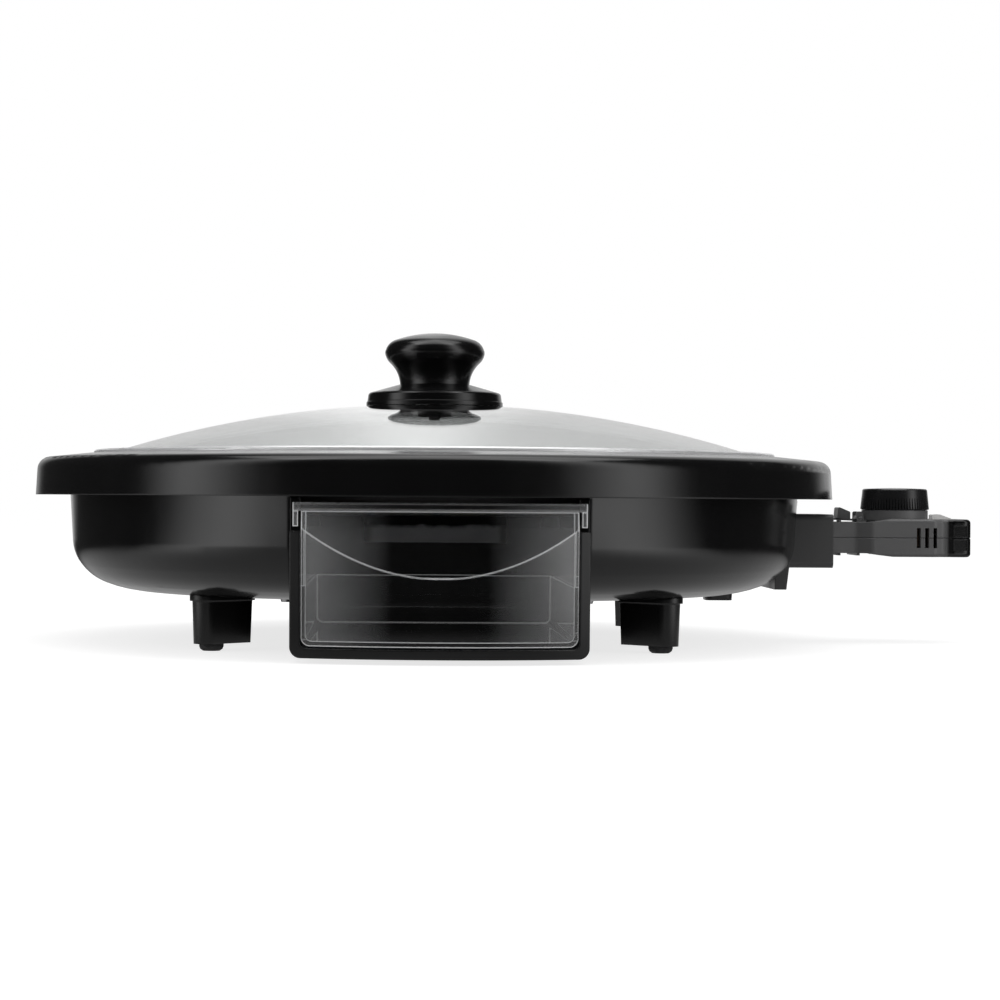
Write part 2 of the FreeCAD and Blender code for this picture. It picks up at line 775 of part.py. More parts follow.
def make_grill_plate():
    body = new_body("grill_plate")
    outer = s.rim_top_inner - s.plate_gap
    lip = outer - s.flange_width
    foot = lip - s.plate_slope
    wall = s.plate_thickness
    section = Drawing(body, "XZ")
    section.outline((0, plate_under_z), (foot + wall / 2, plate_under_z), (lip + wall, ledge_z),
                    (outer, ledge_z), (outer, flange_z), (lip, flange_z, 2), (foot, cook_z, 4), (0, cook_z))
    turn(body, section)
    ribs = Drawing(body, "XY", cook_z - 1)
    half_count = int((s.rib_zone.value / s.rib_pitch.value) + 0.5)
    for n in range(half_count):
        middle = s.rib_pitch * (n + 0.5)
        reach = root(s.rib_zone * s.rib_zone - middle * middle)
        for side in (-1, 1):
            ribs.slot((side * middle, -reach), (side * middle, reach), s.rib_width / 2)
    pad(body, ribs, s.rib_height + 1, draft=-8)
    bead = Drawing(body, "XZ")
    bead.box(s.element_circle - s.bead_width / 2, s.element_circle + s.bead_width / 2, element_z,
             plate_under_z + 1)
    turn(body, bead)
    bosses = Drawing(body, "XY", plate_under_z + 1)
    for angle in PILLAR_ANGLES:
        bosses.circle(*polar(s.pillar_circle, angle), s.boss_radius)
    pad(body, bosses, s.boss_length + 1, backwards=True)
    clamp_bosses = Drawing(body, "XY", plate_under_z + 1)
    for angle in CLAMP_ANGLES:
        for side in (-1, 1):
            clamp_bosses.circle(*polar(s.element_circle + side * s.clamp_screw_offset, angle),
                                s.small_boss_radius)
    pad(body, clamp_bosses, s.bead_depth + 1, backwards=True)
    chute_bosses = Drawing(body, "XY", plate_under_z + 1)
    for side in CHUTE_SCREWS:
        chute_bosses.circle(side * chute_screw_reach, -s.drain_centre, s.small_boss_radius)
    pad(body, chute_bosses, s.chute_drop + 1, backwards=True)
    boss_half = s.rod_radius + s.small_gap + 3
    probe_boss = Drawing(body, "XY", plate_under_z + 1)
    probe_boss.box(s.rod_tip - 8, s.element_circle + 22, -boss_half, boss_half, 3)
    pad(body, probe_boss, plate_under_z + 1 - probe_z + s.rod_radius + 3.5, backwards=True)
    groove = Drawing(body, "XZ")
    channel = s.element_radius + s.fit_gap
    groove.outline((s.element_circle - channel, element_z - 1), (s.element_circle + channel, element_z - 1),
                   (s.element_circle + channel, element_z + channel / 2),
                   (s.element_circle + channel / 2, element_z + channel),
                   (s.element_circle - channel / 2, element_z + channel),
                   (s.element_circle - channel, element_z + channel / 2))
    turn(body, groove, cut=True)
    leg_gap = Drawing(body, "XY", element_z - 1)
    reach = s.element_circle * tangent(s.element_gap_angle + 4)
    near, far = s.element_circle - s.bead_width, s.element_circle + s.bead_width
    leg_gap.box(near, far, boss_half + 0.5, reach, 3)
    leg_gap.box(near, far, -reach, -boss_half - 0.5, 3)
    cut(body, leg_gap, s.bead_depth + 1, along_normal=True)
    well = Drawing(body, "YZ", s.rod_tip - 2)
    well.circle(0, probe_z, s.rod_radius + s.small_gap)
    cut(body, well, s.element_circle, along_normal=True)
    holes = Drawing(body, "XY", element_z - s.boss_length)
    for angle in PILLAR_ANGLES:
        holes.circle(*polar(s.pillar_circle, angle), s.screw_radius + s.fit_gap)
    for angle in CLAMP_ANGLES:
        for side in (-1, 1):
            holes.circle(*polar(s.element_circle + side * s.clamp_screw_offset, angle),
                         s.small_screw_radius + s.fit_gap)
    for side in CHUTE_SCREWS:
        holes.circle(side * chute_screw_reach, -s.drain_centre, s.small_screw_radius + s.fit_gap)
    cut(body, holes, s.boss_length + s.bead_depth + 1.5, along_normal=True)
    drains = Drawing(body, "XY", cook_z + 1)
    for n in (-2, -1, 0, 1, 2):
        middle = n * s.rib_pitch
        reach = (s.drain_length - s.drain_width) / 2
        drains.slot((middle, -s.drain_centre - reach), (middle, -s.drain_centre + reach), s.drain_width / 2)
    cut(body, drains, s.plate_thickness + 2)
    return keep(body, "grill_plate")


def make_heating_element():
    """Ring of sheathed tube in the plate's bead; its two legs drop to the thermostat's level and run out."""
    level = element_z.value
    ring = s.element_circle.value
    gap = math.radians(s.element_gap_angle.value)
    offset = s.terminal_offset.value
    start = FreeCAD.Vector(ring * math.cos(gap), ring * math.sin(gap), level)
    turn_in = FreeCAD.Vector(start.x + (start.y - offset) * math.tan(gap), offset, level)
    drop_start = FreeCAD.Vector(ring + 14, offset, level)
    drop_end = FreeCAD.Vector(drop_start.x + 0.9 * (level - probe_z.value), offset, probe_z.value)
    end = FreeCAD.Vector(s.terminal_start.value, offset, probe_z.value)
    corners = [start, turn_in, drop_start, drop_end, end]
    mirrored = [FreeCAD.Vector(corner.x, -corner.y, corner.z) for corner in corners]
    bend = 2 * s.element_radius.value
    far_side = FreeCAD.Vector(-ring, 0, level)
    loop = Part.Arc(start, far_side, mirrored[0]).toShape()
    edges = [loop] + rounded_path(corners, bend) + rounded_path(mirrored, bend)
    path = Part.Wire(Part.__sortEdges__(edges))
    circle = Part.Circle(end, FreeCAD.Vector(1, 0, 0), s.element_radius.value).toShape()
    element = doc.addObject("Part::Feature", "heating_element")
    element.Shape = path.makePipeShell([Part.Wire([circle])], True, True)
    element.Placement.Base.x = plate_axis_x.value
    return keep(element, "heating_element")


def rounded_path(corners, radius):
    """Straight edges through the corners, with an arc of the given radius at each bend."""
    edges = []
    start = corners[0]
    for before, here, after in zip(corners, corners[1:], corners[2:]):
        back = (before - here).normalize()
        ahead = (after - here).normalize()
        half = back.getAngle(ahead) / 2
        reach = radius / math.tan(half)
        first = here + back * reach
        last = here + ahead * reach
        middle_way = (back + ahead).normalize()
        middle = here + middle_way * (radius / math.sin(half) - radius)
        edges.append(Part.LineSegment(start, first).toShape())
        edges.append(Part.Arc(first, middle, last).toShape())
        start = last
    edges.append(Part.LineSegment(start, corners[-1]).toShape())
    return edges


def make_terminals():
    """The element's two pins, which run out to the socket, and the ceramic beads round them."""
    pins = []
    beads = []
    for side in (-1, 1):
        y = side * s.terminal_offset
        pins.append(rod(f"pin_{side + 2}", s.terminal_start, s.terminal_end, y, probe_z, s.terminal_radius))
        end = s.guard_inner - s.small_gap
        bead = doc.addObject("Part::Cut", f"bead_{side + 2}")
        bead.Base = rod(f"bead_body_{side + 2}", s.terminal_start, end, y, probe_z, s.insulator_radius)
        bore = s.terminal_radius + s.fit_gap
        bead.Tool = rod(f"bead_bore_{side + 2}", s.terminal_start, end, y, probe_z, bore)
        beads.append(bead)
    group("element_terminals", pins)
    group("terminal_insulators", beads)


def make_clamps():
    """Straps that arch over the element's tube, with an ear and a screw on each side of it."""
    straps = []
    screws = []
    tube = s.element_radius + s.fit_gap
    sheet = s.clamp_thickness
    low = element_z - sheet
    for n, angle in enumerate(CLAMP_ANGLES):
        body = new_body(f"clamp_{n}", angle=angle)
        middle = s.element_circle
        strap = Drawing(body, "XZ")
        strap.outline((middle - s.clamp_reach, element_z), (middle - tube, element_z),
                      Bend(middle, element_z - tube), (middle + tube, element_z),
                      (middle + s.clamp_reach, element_z), (middle + s.clamp_reach, low),
                      (middle + tube + sheet, low), Bend(middle, low - tube),
                      (middle - tube - sheet, low), (middle - s.clamp_reach, low))
        pad(body, strap, s.clamp_width, both_ways=True)
        holes = Drawing(body, "XY", low - 1)
        for side in (-1, 1):
            holes.circle(middle + side * s.clamp_screw_offset, 0, s.small_screw_radius + s.fit_gap)
            x, y = polar(middle + side * s.clamp_screw_offset, angle)
            screws.append(screw(f"clamp_screw_{n}_{side + 2}", x, y, low, sheet + s.bead_depth, small=True))
        cut(body, holes, sheet + 2, along_normal=True)
        straps.append(body)
    group("element_clamps", straps)
    group("clamp_screws", screws)


def make_reflector():
    """A dished sheet under the element, with a notch for the tray housing and holes for the pillars."""
    body = new_body("heat_reflector")
    sheet = s.sheet_thickness
    reach = s.reflector_radius
    lip_z = reflector_z + s.reflector_lip
    dish = Drawing(body, "XZ")
    dish.outline((0, reflector_z), (reach - 2, reflector_z), (reach + 1, reflector_z + 2), (reach + 4, lip_z),
                 (reach + 4 - sheet, lip_z), (reach + 1 - sheet, reflector_z + 2 + sheet / 2),
                 (reach - 2 - sheet / 2, reflector_z + sheet), (0, reflector_z + sheet))
    turn(body, dish)
    notch = Drawing(body, "XY", reflector_z - 1)
    side = side_at(reflector_z) + 1
    notch.box(-side, side, -s.shell_radius, 1 - s.housing_back, 3)
    for angle in PILLAR_ANGLES:
        notch.circle(*polar(s.pillar_circle, angle), s.boss_radius + s.small_gap)
    cut(body, notch, s.reflector_lip + 2, along_normal=True)
    gate = Drawing(body, "XY", reflector_z + 2)
    gate.box(reach - 12, reach + 12, -s.guard_half_width, s.guard_half_width)
    cut(body, gate, s.reflector_lip, along_normal=True)
    return keep(body, "heat_reflector")


def make_chute():
    """A collar under the drain slots, with a flange and two screws up into the plate."""
    body = new_body("drip_chute")
    top = plate_under_z - s.chute_drop
    sheet = s.sheet_thickness
    half = s.chute_width / 2
    deep = s.chute_depth / 2
    reach = half + s.chute_flange
    wall = s.chute_wall
    flange = Drawing(body, "XY", top)
    flange.box(-reach, reach, -s.drain_centre - deep, -s.drain_centre + deep, 5)
    pad(body, flange, sheet, backwards=True)
    collar = Drawing(body, "XY", plate_under_z - s.small_gap)
    collar.box(-half, half, -s.drain_centre - deep, -s.drain_centre + deep, 6)
    pad(body, collar, s.chute_length, backwards=True, draft=-3)
    inside = Drawing(body, "XY", plate_under_z)
    inside.box(-half + wall, half - wall, -s.drain_centre - deep + wall, -s.drain_centre + deep - wall, 4)
    cut(body, inside, s.chute_length + 1)
    holes = Drawing(body, "XY", top + 1)
    screws = []
    for side in CHUTE_SCREWS:
        place = (side * chute_screw_reach, -s.drain_centre)
        holes.circle(*place, s.small_screw_radius + s.fit_gap)
        screws.append(screw(f"chute_screw_{side + 2}", *place, top - sheet, sheet + 4, small=True))
    cut(body, holes, sheet + 2)
    keep(body, "drip_chute")
    group("chute_screws", screws)


def make_plate_screws():
    """Long screws up through the shell's pillars into the plate's bosses."""
    seat = floor_z + s.screw_seat_height
    screws = []
    for n, angle in enumerate(PILLAR_ANGLES):
        x, y = polar(s.pillar_circle, angle)
        screws.append(screw(f"plate_screw_{n}", x, y, seat, boss_end_z - seat + 8))
    group("plate_screws", screws)


def make_feet():
    """Radial block feet with a round outer end, cut to the shell's underside; each has its pad and screw."""
    screws = []
    half = s.foot_width / 2
    inner = s.foot_circle + half - s.foot_length
    screw_reach = s.foot_circle - s.foot_width
    seat = s.pad_height + s.foot_screw_depth
    for name, angle in FOOT_ANGLES.items():
        body = new_body(f"foot_{name}", angle=angle)
        block = Drawing(body, "XY", s.pad_height)
        block.outline((inner, -half, 1), (s.foot_circle, -half), Bend(s.foot_circle + half, 0),
                      (s.foot_circle, half), (inner, half, 1))
        pad(body, block, s.foot_height + s.foot_spare, draft=s.foot_draft)
        flange = Drawing(body, "XY", floor_z - s.foot_flange)
        wide = half + s.foot_flange
        flange.outline((inner - 1.5, -wide, 2), (s.foot_circle, -wide), Bend(s.foot_circle + wide, 0),
                       (s.foot_circle, wide), (inner - 1.5, wide, 2))
        pad(body, flange, s.foot_flange + s.foot_spare)
        underside = Drawing(body, "XZ")
        underside.outline((0, floor_z), (s.floor_reach, floor_z, s.floor_round),
                          (s.belly_reach, floor_z + s.belly_height), (s.belly_reach, floor_z + 20),
                          (0, floor_z + 20))
        turn(body, underside, cut=True)
        stem = Drawing(body, "XY", s.pad_height - 1)
        stem.circle(s.foot_circle - s.pad_inset, 0, s.pad_stem_radius + s.fit_gap)
        cut(body, stem, s.pad_stem_length + 1.5, along_normal=True)
        seat_bore = Drawing(body, "XY", s.pad_height - 1)
        seat_bore.circle(screw_reach, 0, s.screw_head_radius + s.small_gap)
        cut(body, seat_bore, s.foot_screw_depth + 1, along_normal=True)
        shank_bore = Drawing(body, "XY", s.pad_height - 1)
        shank_bore.circle(screw_reach, 0, s.screw_radius + s.fit_gap)
        cut(body, shank_bore, s.foot_height + 2, along_normal=True)
        keep(body, f"foot_{name}")
        x, y = polar(screw_reach, angle)
        screws.append(screw(f"foot_screw_{name}", x, y, seat, floor_z - seat + 9))
        make_foot_pad(name, *polar(s.foot_circle - s.pad_inset, angle))
    group("foot_screws", screws)


def make_foot_pad(name, x, y):
    body = new_body(f"foot_pad_{name}", x, y)
    stem_top = s.pad_height + s.pad_stem_length
    section = Drawing(body, "XZ")
    section.outline((0, 0), (s.pad_radius - 1.8, 0), (s.pad_radius - 0.5, 0.9), (s.pad_radius, 2.2),
                    (s.pad_radius, s.pad_height), (s.pad_stem_radius, s.pad_height),
                    (s.pad_stem_radius, stem_top), (0, stem_top))
    turn(body, section)
    keep(body, f"foot_pad_{name}")


def trim_front(body, radius, low, height):
    """Cuts a body's front to an upright cylinder about the plate's axis."""
    ring = Drawing(body, "XY", low)
    ring.circle(0, 0, radius)
    ring.circle(0, 0, radius * 2)
    cut(body, ring, height, along_normal=True)


def make_tray_housing():
    """The U-shaped frame that the tray slides in, open at the top and the front."""
    body = new_body("tray_housing")
    low = s.housing_clear
    top = rim_z - s.frame_gap
    reach = s.housing_front + 4 - s.housing_back
    frame = Drawing(body, "XZ", s.housing_back)
    frame.outline((-side_at(low), low, 5), (side_at(low), low, 5), (side_at(top), top), (-side_at(top), top))
    pad(body, frame, reach)
    flange = Drawing(body, "XY", inside_floor_z)
    half = side_at(floor_z) + s.housing_flange
    flange.box(-half, half, -s.housing_flange_front, 8 - s.housing_back, 4)
    pad(body, flange, 2.5)
    bosses = Drawing(body, "XY", inside_floor_z)
    for place in HOUSING_SCREWS:
        bosses.circle(*place, 3.6)
    pad(body, bosses, 8)
    trim_front(body, s.housing_front, 0, rim_z)
    inner_top = Drawing(body, "YZ")
    inner_top.box(s.frame_depth - s.housing_front, 0, low + s.housing_inner_height, top + 5)
    cut(body, inner_top, 2 * s.shell_radius, both_ways=True)
    notch = Drawing(body, "YZ")
    notch.box(-s.housing_front - 5, s.tray_front_depth - s.tray_front + s.tray_gap,
              tray_z + s.tray_front_height - s.ear_drop - 2, top + 5)
    cut(body, notch, 2 * s.shell_radius, both_ways=True)
    bay_low = low + s.housing_floor
    wall = s.housing_wall
    bay = Drawing(body, "XZ", s.housing_back + wall)
    bay.outline((wall - side_at(bay_low), bay_low, 3), (side_at(bay_low) - wall, bay_low, 3),
                (side_at(top + 5) - wall, top + 5), (wall - side_at(top + 5), top + 5))
    cut(body, bay, reach, along_normal=True)
    rails = Drawing(body, "XZ", s.housing_back + wall / 2)
    for level in (low + s.rail_level, low + s.rail_level + s.rail_pitch):
        for side in (-1, 1):
            edges = sorted((side * (side_at(level) - wall - s.rail_depth), side * (side_at(level) - wall / 2)),
                           key=lambda edge: edge.value)
            rails.box(*edges, level, level + s.rail_height)
    pad(body, rails, s.rail_length)
    runners = Drawing(body, "XZ", s.housing_back + wall / 2)
    for side in (-1, 1):
        runners.box(side * 40 - 1.5, side * 40 + 1.5, bay_low - 1, bay_low + s.tray_rise - s.small_gap)
    pad(body, runners, s.housing_front - s.housing_back - 18)
    pilots = Drawing(body, "XY", inside_floor_z - 1)
    for place in HOUSING_SCREWS:
        pilots.circle(*place, s.small_screw_radius + s.fit_gap)
    cut(body, pilots, 8, along_normal=True)
    keep(body, "tray_housing")
    group("housing_screws", [
        screw(f"housing_screw_{n}", *place, floor_z, s.shell_wall + 6, small=True)
        for n, place in enumerate(HOUSING_SCREWS)
    ])


def tray_block(name, inset):
    """The tray's solid outer form, or with an inset its inner form."""
    body = new_body(name)
    low = tray_z + inset
    top = tray_z + s.tray_front_height + inset
    base = s.housing_half_width - s.housing_wall - s.tray_gap - inset
    round_by = 4 - size(inset) / 2
    front_view = Drawing(body, "XZ", s.tray_back + inset)
    front_view.outline((-side_at(low, base), low, round_by), (side_at(low, base), low, round_by),
                       (side_at(top, base), top), (-side_at(top, base), top))
    pad(body, front_view, s.tray_front + 4 - s.tray_back)
    trim_front(body, s.tray_front - inset, 0, rim_z + 5)
    lean = tangent(s.facet_lean)
    foot_y = inset / cosine(s.facet_lean) - s.tray_front
    foot_z = tray_z + s.facet_foot
    rise = top + 2 - foot_z
    facet = Drawing(body, "YZ")
    facet.outline((foot_y, foot_z), (foot_y + rise * lean, foot_z + rise), (foot_y - 30, foot_z + rise),
                  (foot_y - 30, foot_z))
    cut(body, facet, 2 * s.housing_front, both_ways=True)
    return body


def make_drip_tray():
    """Clear drawer: low walls, a tall curved front with a slanted facet, and a lip along the facet's top."""
    outside = tray_block("tray_outside", size(0))
    back_y = s.tray_front_depth - s.tray_front
    top = tray_z + s.tray_front_height
    half = s.lip_half_width
    low_walls = Drawing(outside, "YZ")
    low_walls.box(back_y, 0, tray_z + s.tray_wall_height, top + 5)
    cut(outside, low_walls, 2 * s.housing_front, both_ways=True)
    hollow = doc.addObject("Part::Cut", "tray_hollow")
    hollow.Base = outside
    hollow.Tool = tray_block("tray_inside", s.tray_wall)
    lip_body = new_body("tray_lip")
    lip = Drawing(lip_body, "YZ")
    facet_y = (s.tray_front_height - s.facet_foot) * tangent(s.facet_lean) - s.tray_front
    lip.box(facet_y - s.lip_depth, back_y, top - s.lip_height, top, 1)
    pad(lip_body, lip, 2 * half, both_ways=True)
    for side in (-1, 1):
        ear = Drawing(lip_body, "XZ", -back_y)
        edges = sorted((side * (half - s.ear_sheet), side * half), key=lambda edge: edge.value)
        ear.box(*edges, top - s.ear_drop, top - 1)
        pad(lip_body, ear, s.lip_depth + 1)
    tray = doc.addObject("Part::Fuse", "drip_tray")
    tray.Base = hollow
    tray.Tool = lip_body
    return keep(tray, "drip_tray")


def glass_z(radius, depth=0):
    """The level of the lid's glass at a radius, at a depth under its outer face."""
    ball = s.glass_sphere - depth
    return glass_top_z - s.glass_sphere + root(ball * ball - radius * radius)


def make_lid_glass():
    """A spherical cap of even thickness with a hole for the knob's screw."""
    edge = s.lid_radius - s.glass_inset
    outer = doc.addObject("Part::Sphere", "glass_outer")
    inner = doc.addObject("Part::Sphere", "glass_inner")
    bind(outer, "Radius", s.glass_sphere)
    bind(inner, "Radius", s.glass_sphere - s.glass_thickness)
    for ball in (outer, inner):
        bind(ball, "Placement.Base.x", plate_axis_x)
        bind(ball, "Placement.Base.z", glass_top_z - s.glass_sphere)
    cap = doc.addObject("Part::Common", "glass_cap")
    cap.Base = outer
    cap.Tool = post("glass_rim", 0, 0, flange_z - 5, edge, s.glass_rise + 10)
    shell = doc.addObject("Part::Cut", "glass_shell")
    shell.Base = cap
    shell.Tool = inner
    glass = doc.addObject("Part::Cut", "lid_glass")
    glass.Base = shell
    glass.Tool = post("glass_bore", 0, 0, flange_z, s.glass_hole, s.glass_rise + 10)
    return keep(glass, "lid_glass")


def make_lid_band():
    """Thin steel strip folded round the glass edge; its top stands a little above the glass."""
    body = new_body("lid_band")
    low = flange_z + s.lid_seat
    sheet = s.band_sheet
    outer = s.lid_radius
    inner = outer - sheet
    lap = outer - s.band_lap
    top = glass_z(lap) + s.band_rise
    bevel = 0.7
    section = Drawing(body, "XZ")
    section.outline((outer, low), (outer, top - bevel), (outer - bevel, top), (lap + bevel, top),
                    (lap, top - bevel), (lap, glass_z(lap) + 0.15), (lap + sheet, glass_z(lap + sheet) + 0.15),
                    (lap + sheet, top - sheet), (inner, top - sheet), (inner, low + sheet),
                    (lap + 1, low + sheet), (lap + 1, low))
    turn(body, section)
    return keep(body, "lid_band")


def make_knob_plate():
    """The disc under the knob: crowned, with a lip round its lower edge and hollow underneath."""
    body = new_body("knob_plate")
    rim = s.knob_plate_radius
    wall = s.knob_plate_wall
    low = glass_z(rim) + s.small_gap
    shoulder = glass_top_z + s.knob_plate_edge
    top = glass_top_z + s.knob_plate_height
    bore = s.knob_stem_radius + s.small_gap
    neck = s.knob_neck_radius
    section = Drawing(body, "XZ")
    section.outline((rim, low), (rim, low + 2), (rim - 0.5, low + 2.3), (rim - 1, shoulder - 1),
                    (rim - 1.4, shoulder - 0.3), (rim - 2.2, shoulder + 0.2),
                    (neck + 1, top), (bore, top), (bore, glass_top_z + 1), (bore + wall, glass_top_z + 1),
                    (bore + wall, top - wall), (neck + 1, top - wall), (rim - wall, shoulder - wall + 0.5),
                    (rim - wall, low))
    turn(body, section)
    return keep(body, "knob_plate")


def make_knob():
    """The turned knob: narrow neck, flared head, domed top, and a stem that holds a threaded insert."""
    body = new_body("lid_knob")
    neck = s.knob_neck_radius
    flare = s.knob_radius - neck
    base = glass_top_z + s.knob_plate_height
    crown = glass_top_z + s.knob_height - s.knob_dome
    body_height = crown - base
    dome_edge = neck + 0.95 * flare
    brow = neck + 0.28 * flare
    brow_z = crown + 0.6 * s.knob_dome
    stem_low = glass_top_z + 1.2
    bore = s.insert_radius + s.fit_gap
    section = Drawing(body, "XZ")
    section.outline((0, stem_low + s.insert_length + s.fit_gap), (bore, stem_low + s.insert_length + s.fit_gap),
                    (bore, stem_low), (s.knob_stem_radius, stem_low), (s.knob_stem_radius, base), (neck, base),
                    Bend(neck + 0.18 * flare, base + 0.33 * body_height),
                    (neck + 0.61 * flare, base + 0.6 * body_height),
                    Bend(neck + 0.9 * flare, base + 0.76 * body_height),
                    (neck + flare, base + 0.9 * body_height),
                    Bend(neck + 0.985 * flare, base + 0.96 * body_height), (dome_edge, crown),
                    Bend(neck + 0.75 * flare, crown + 0.33 * s.knob_dome), (brow, brow_z),
                    dome_bend(brow, brow_z, 0.4 * s.knob_dome), (0, crown + s.knob_dome))
    turn(body, section)
    return keep(body, "lid_knob")


def make_knob_fixing():
    """The insert in the knob, the rubber washer in the glass and the screw from below."""
    stem_low = glass_top_z + 1.2
    under_z = glass_top_z - s.glass_thickness - s.fit_gap
    insert = new_body("knob_insert")
    section = Drawing(insert, "XZ")
    bore = s.screw_radius + s.fit_gap
    section.box(bore, s.insert_radius, stem_low, stem_low + s.insert_length)
    turn(insert, section)
    keep(insert, "knob_insert")
    washer = new_body("knob_washer")
    section = Drawing(washer, "XZ")
    section.outline((bore, under_z - s.washer_thickness), (s.washer_radius, under_z - s.washer_thickness),
                    (s.washer_radius, under_z - s.fit_gap), (s.glass_hole - s.small_gap, under_z - s.fit_gap),
                    (s.glass_hole - s.small_gap, stem_low - s.fit_gap), (bore, stem_low - s.fit_gap))
    turn(washer, section)
    keep(washer, "knob_washer")
    seat = under_z - s.washer_thickness
    keep(screw("knob_screw", 0, 0, seat, stem_low - seat + s.insert_length - 1), "knob_screw")


def make_socket_guard():
    """The moulding in the shell's window: a block with a sleeve for the thermostat and a screwed leg."""
    body = new_body("socket_guard")
    low = floor_z + 2
    high = rim_z - 1
    inner = s.guard_inner
    half = s.guard_half_width
    block = Drawing(body, "XZ")
    block.outline((inner, low), (s.guard_foot_reach, low), (s.guard_top_reach, high), (inner, high))
    pad(body, block, 2 * half, both_ways=True)
    sleeve = Drawing(body, "YZ", inner + 1)
    sleeve.box(-s.sleeve_half_width, s.sleeve_half_width, probe_z - s.sleeve_below, probe_z + s.sleeve_above, 3)
    pad(body, sleeve, s.sleeve_end - inner - 1)
    leg = Drawing(body, "XZ")
    seat = inside_floor_z + s.small_gap
    screw_x = s.guard_screw_reach
    leg.outline((screw_x - 7, seat), (screw_x + 5, seat), (inner - 10, seat + 4), (inner + 1, seat + 13),
                (inner + 1, seat + 17), (inner - 18, seat + 9), (screw_x - 7, seat + 5))
    pad(body, leg, s.leg_width, both_ways=True)
    clear = s.neck_clear
    socket = Drawing(body, "YZ", inner + s.guard_web)
    socket.box(-s.neck_half_width - clear, s.neck_half_width + clear, probe_z - s.neck_half_height - clear,
               probe_z + s.neck_half_height + clear, clear)
    cut(body, socket, s.sleeve_end - inner, along_normal=True)
    holes = Drawing(body, "YZ", inner - 1)
    holes.circle(0, probe_z, s.rod_radius + s.small_gap)
    for side in (-1, 1):
        holes.circle(side * s.terminal_offset, probe_z, s.terminal_radius + s.small_gap)
    cut(body, holes, s.guard_web + 2, along_normal=True)
    notch = Drawing(body, "YZ", s.lever_tip - 3)
    notch.box(-s.arm_notch / 2, s.arm_notch / 2, probe_z, probe_z + s.sleeve_above - 1.2)
    cut(body, notch, s.sleeve_end - s.lever_tip + 4, along_normal=True)
    pilot = Drawing(body, "XY", seat - 1)
    pilot.circle(screw_x, 0, s.small_screw_radius + s.fit_gap)
    cut(body, pilot, 5.5, along_normal=True)
    keep(body, "socket_guard")
    seat_z = floor_z - s.tongue_depth + s.small_head_height + s.small_gap
    keep(screw("guard_screw", screw_x, 0, seat_z, seat + 4 - seat_z, small=True), "guard_screw")


def case_half(name, way):
    """One half of the thermostat's case; way is 1 for the upper half and -1 for the lower half."""
    body = new_body(name)
    nose = s.neck_half_width
    wide = s.case_half_width
    waist = wide - s.waist_depth
    wall = s.case_wall
    grip = s.grip_start
    plan = Drawing(body, "XY", probe_z)
    plan.outline((s.neck_start, -nose, 2), (s.neck_end - 3, -nose, 4), (s.neck_end + 5, -wide, 4),
                 (grip, -wide, 4), (grip + 5, -waist, 3), (grip + 10, -wide + 0.5, 3),
                 (s.case_end, -wide + 0.5, s.case_corner), (s.case_end, wide - 0.5, s.case_corner),
                 (grip + 10, wide - 0.5, 3), (grip + 5, waist, 3), (grip, wide, 4),
                 (s.neck_end + 5, wide, 4), (s.neck_end - 3, nose, 4), (s.neck_start, nose, 2))
    solid = pad(body, plan, s.case_half_height, backwards=way < 0)
    face_z = probe_z + way * s.case_half_height
    solid = soften(body, solid, lambda edge: all(abs(v.Z - face_z.value) < 1e-3 for v in edge.Vertexes)
                   and edge.BoundBox.XMin > s.neck_end.value - 5, 2)
    bevel(body, solid, lambda edge: all(abs(v.Z - probe_z.value) < 1e-3 for v in edge.Vertexes), 0.4)
    neck_z = way * s.neck_half_height
    above = Drawing(body, "XZ")
    above.outline((s.neck_start - 5, probe_z + neck_z), (s.neck_end + 4, probe_z + neck_z),
                  (s.neck_end + 16, face_z), (s.neck_end + 16, face_z + way * 5),
                  (s.neck_start - 5, face_z + way * 5))
    cut(body, above, 4 * wide, both_ways=True)
    cavity = Drawing(body, "XY", probe_z - way)
    cavity.box(s.neck_end + 4, s.case_end - wall, -waist + wall, waist - wall, 4)
    cut(body, cavity, s.case_half_height + 1 - wall, along_normal=way > 0)
    bosses = Drawing(body, "XY", probe_z)
    for x, y in CASE_SCREWS:
        bosses.circle(x, y, s.case_boss_radius)
    pad(body, bosses, s.case_half_height - 1, backwards=way < 0)
    channels = Drawing(body, "YZ", s.neck_start - 1)
    channels.circle(0, probe_z, s.rod_radius + s.fit_gap)
    for side in (-1, 1):
        channels.circle(side * s.terminal_offset, probe_z, s.contact_radius + s.fit_gap)
    cut(body, channels, s.neck_end + 6 - s.neck_start, along_normal=True)
    slots = Drawing(body, "XZ", wide - wall - 3)
    for n in range(3):
        middle = s.slot_start + n * s.slot_pitch
        slots.box(middle - s.slot_width / 2, middle + s.slot_width / 2, probe_z - s.slot_height / 2,
                  probe_z + s.slot_height / 2)
    cut(body, slots, 10, along_normal=True)
    for side in (-1, 1):
        grips = Drawing(body, "XZ", side * (wide - 1.5) if side > 0 else -wide - 3)
        grips.box(grip + 10, s.case_end - 2.8, probe_z - 6.5, probe_z - 0.8)
        grips.box(grip + 10, s.case_end - 2.8, probe_z + 0.8, probe_z + 6.5)
        cut(body, grips, 4.5, along_normal=True)
    cord = Drawing(body, "XZ", -wide - 4)
    cord.circle(s.cord_place, probe_z, s.cord_hole + s.bush_wall + s.fit_gap)
    cut(body, cord, 10, along_normal=True)
    return body


CASE_SCREWS = ((s.block_start + 6, -16.6), (s.block_start + 6, 16.6), (s.case_end - 6, size(0)))


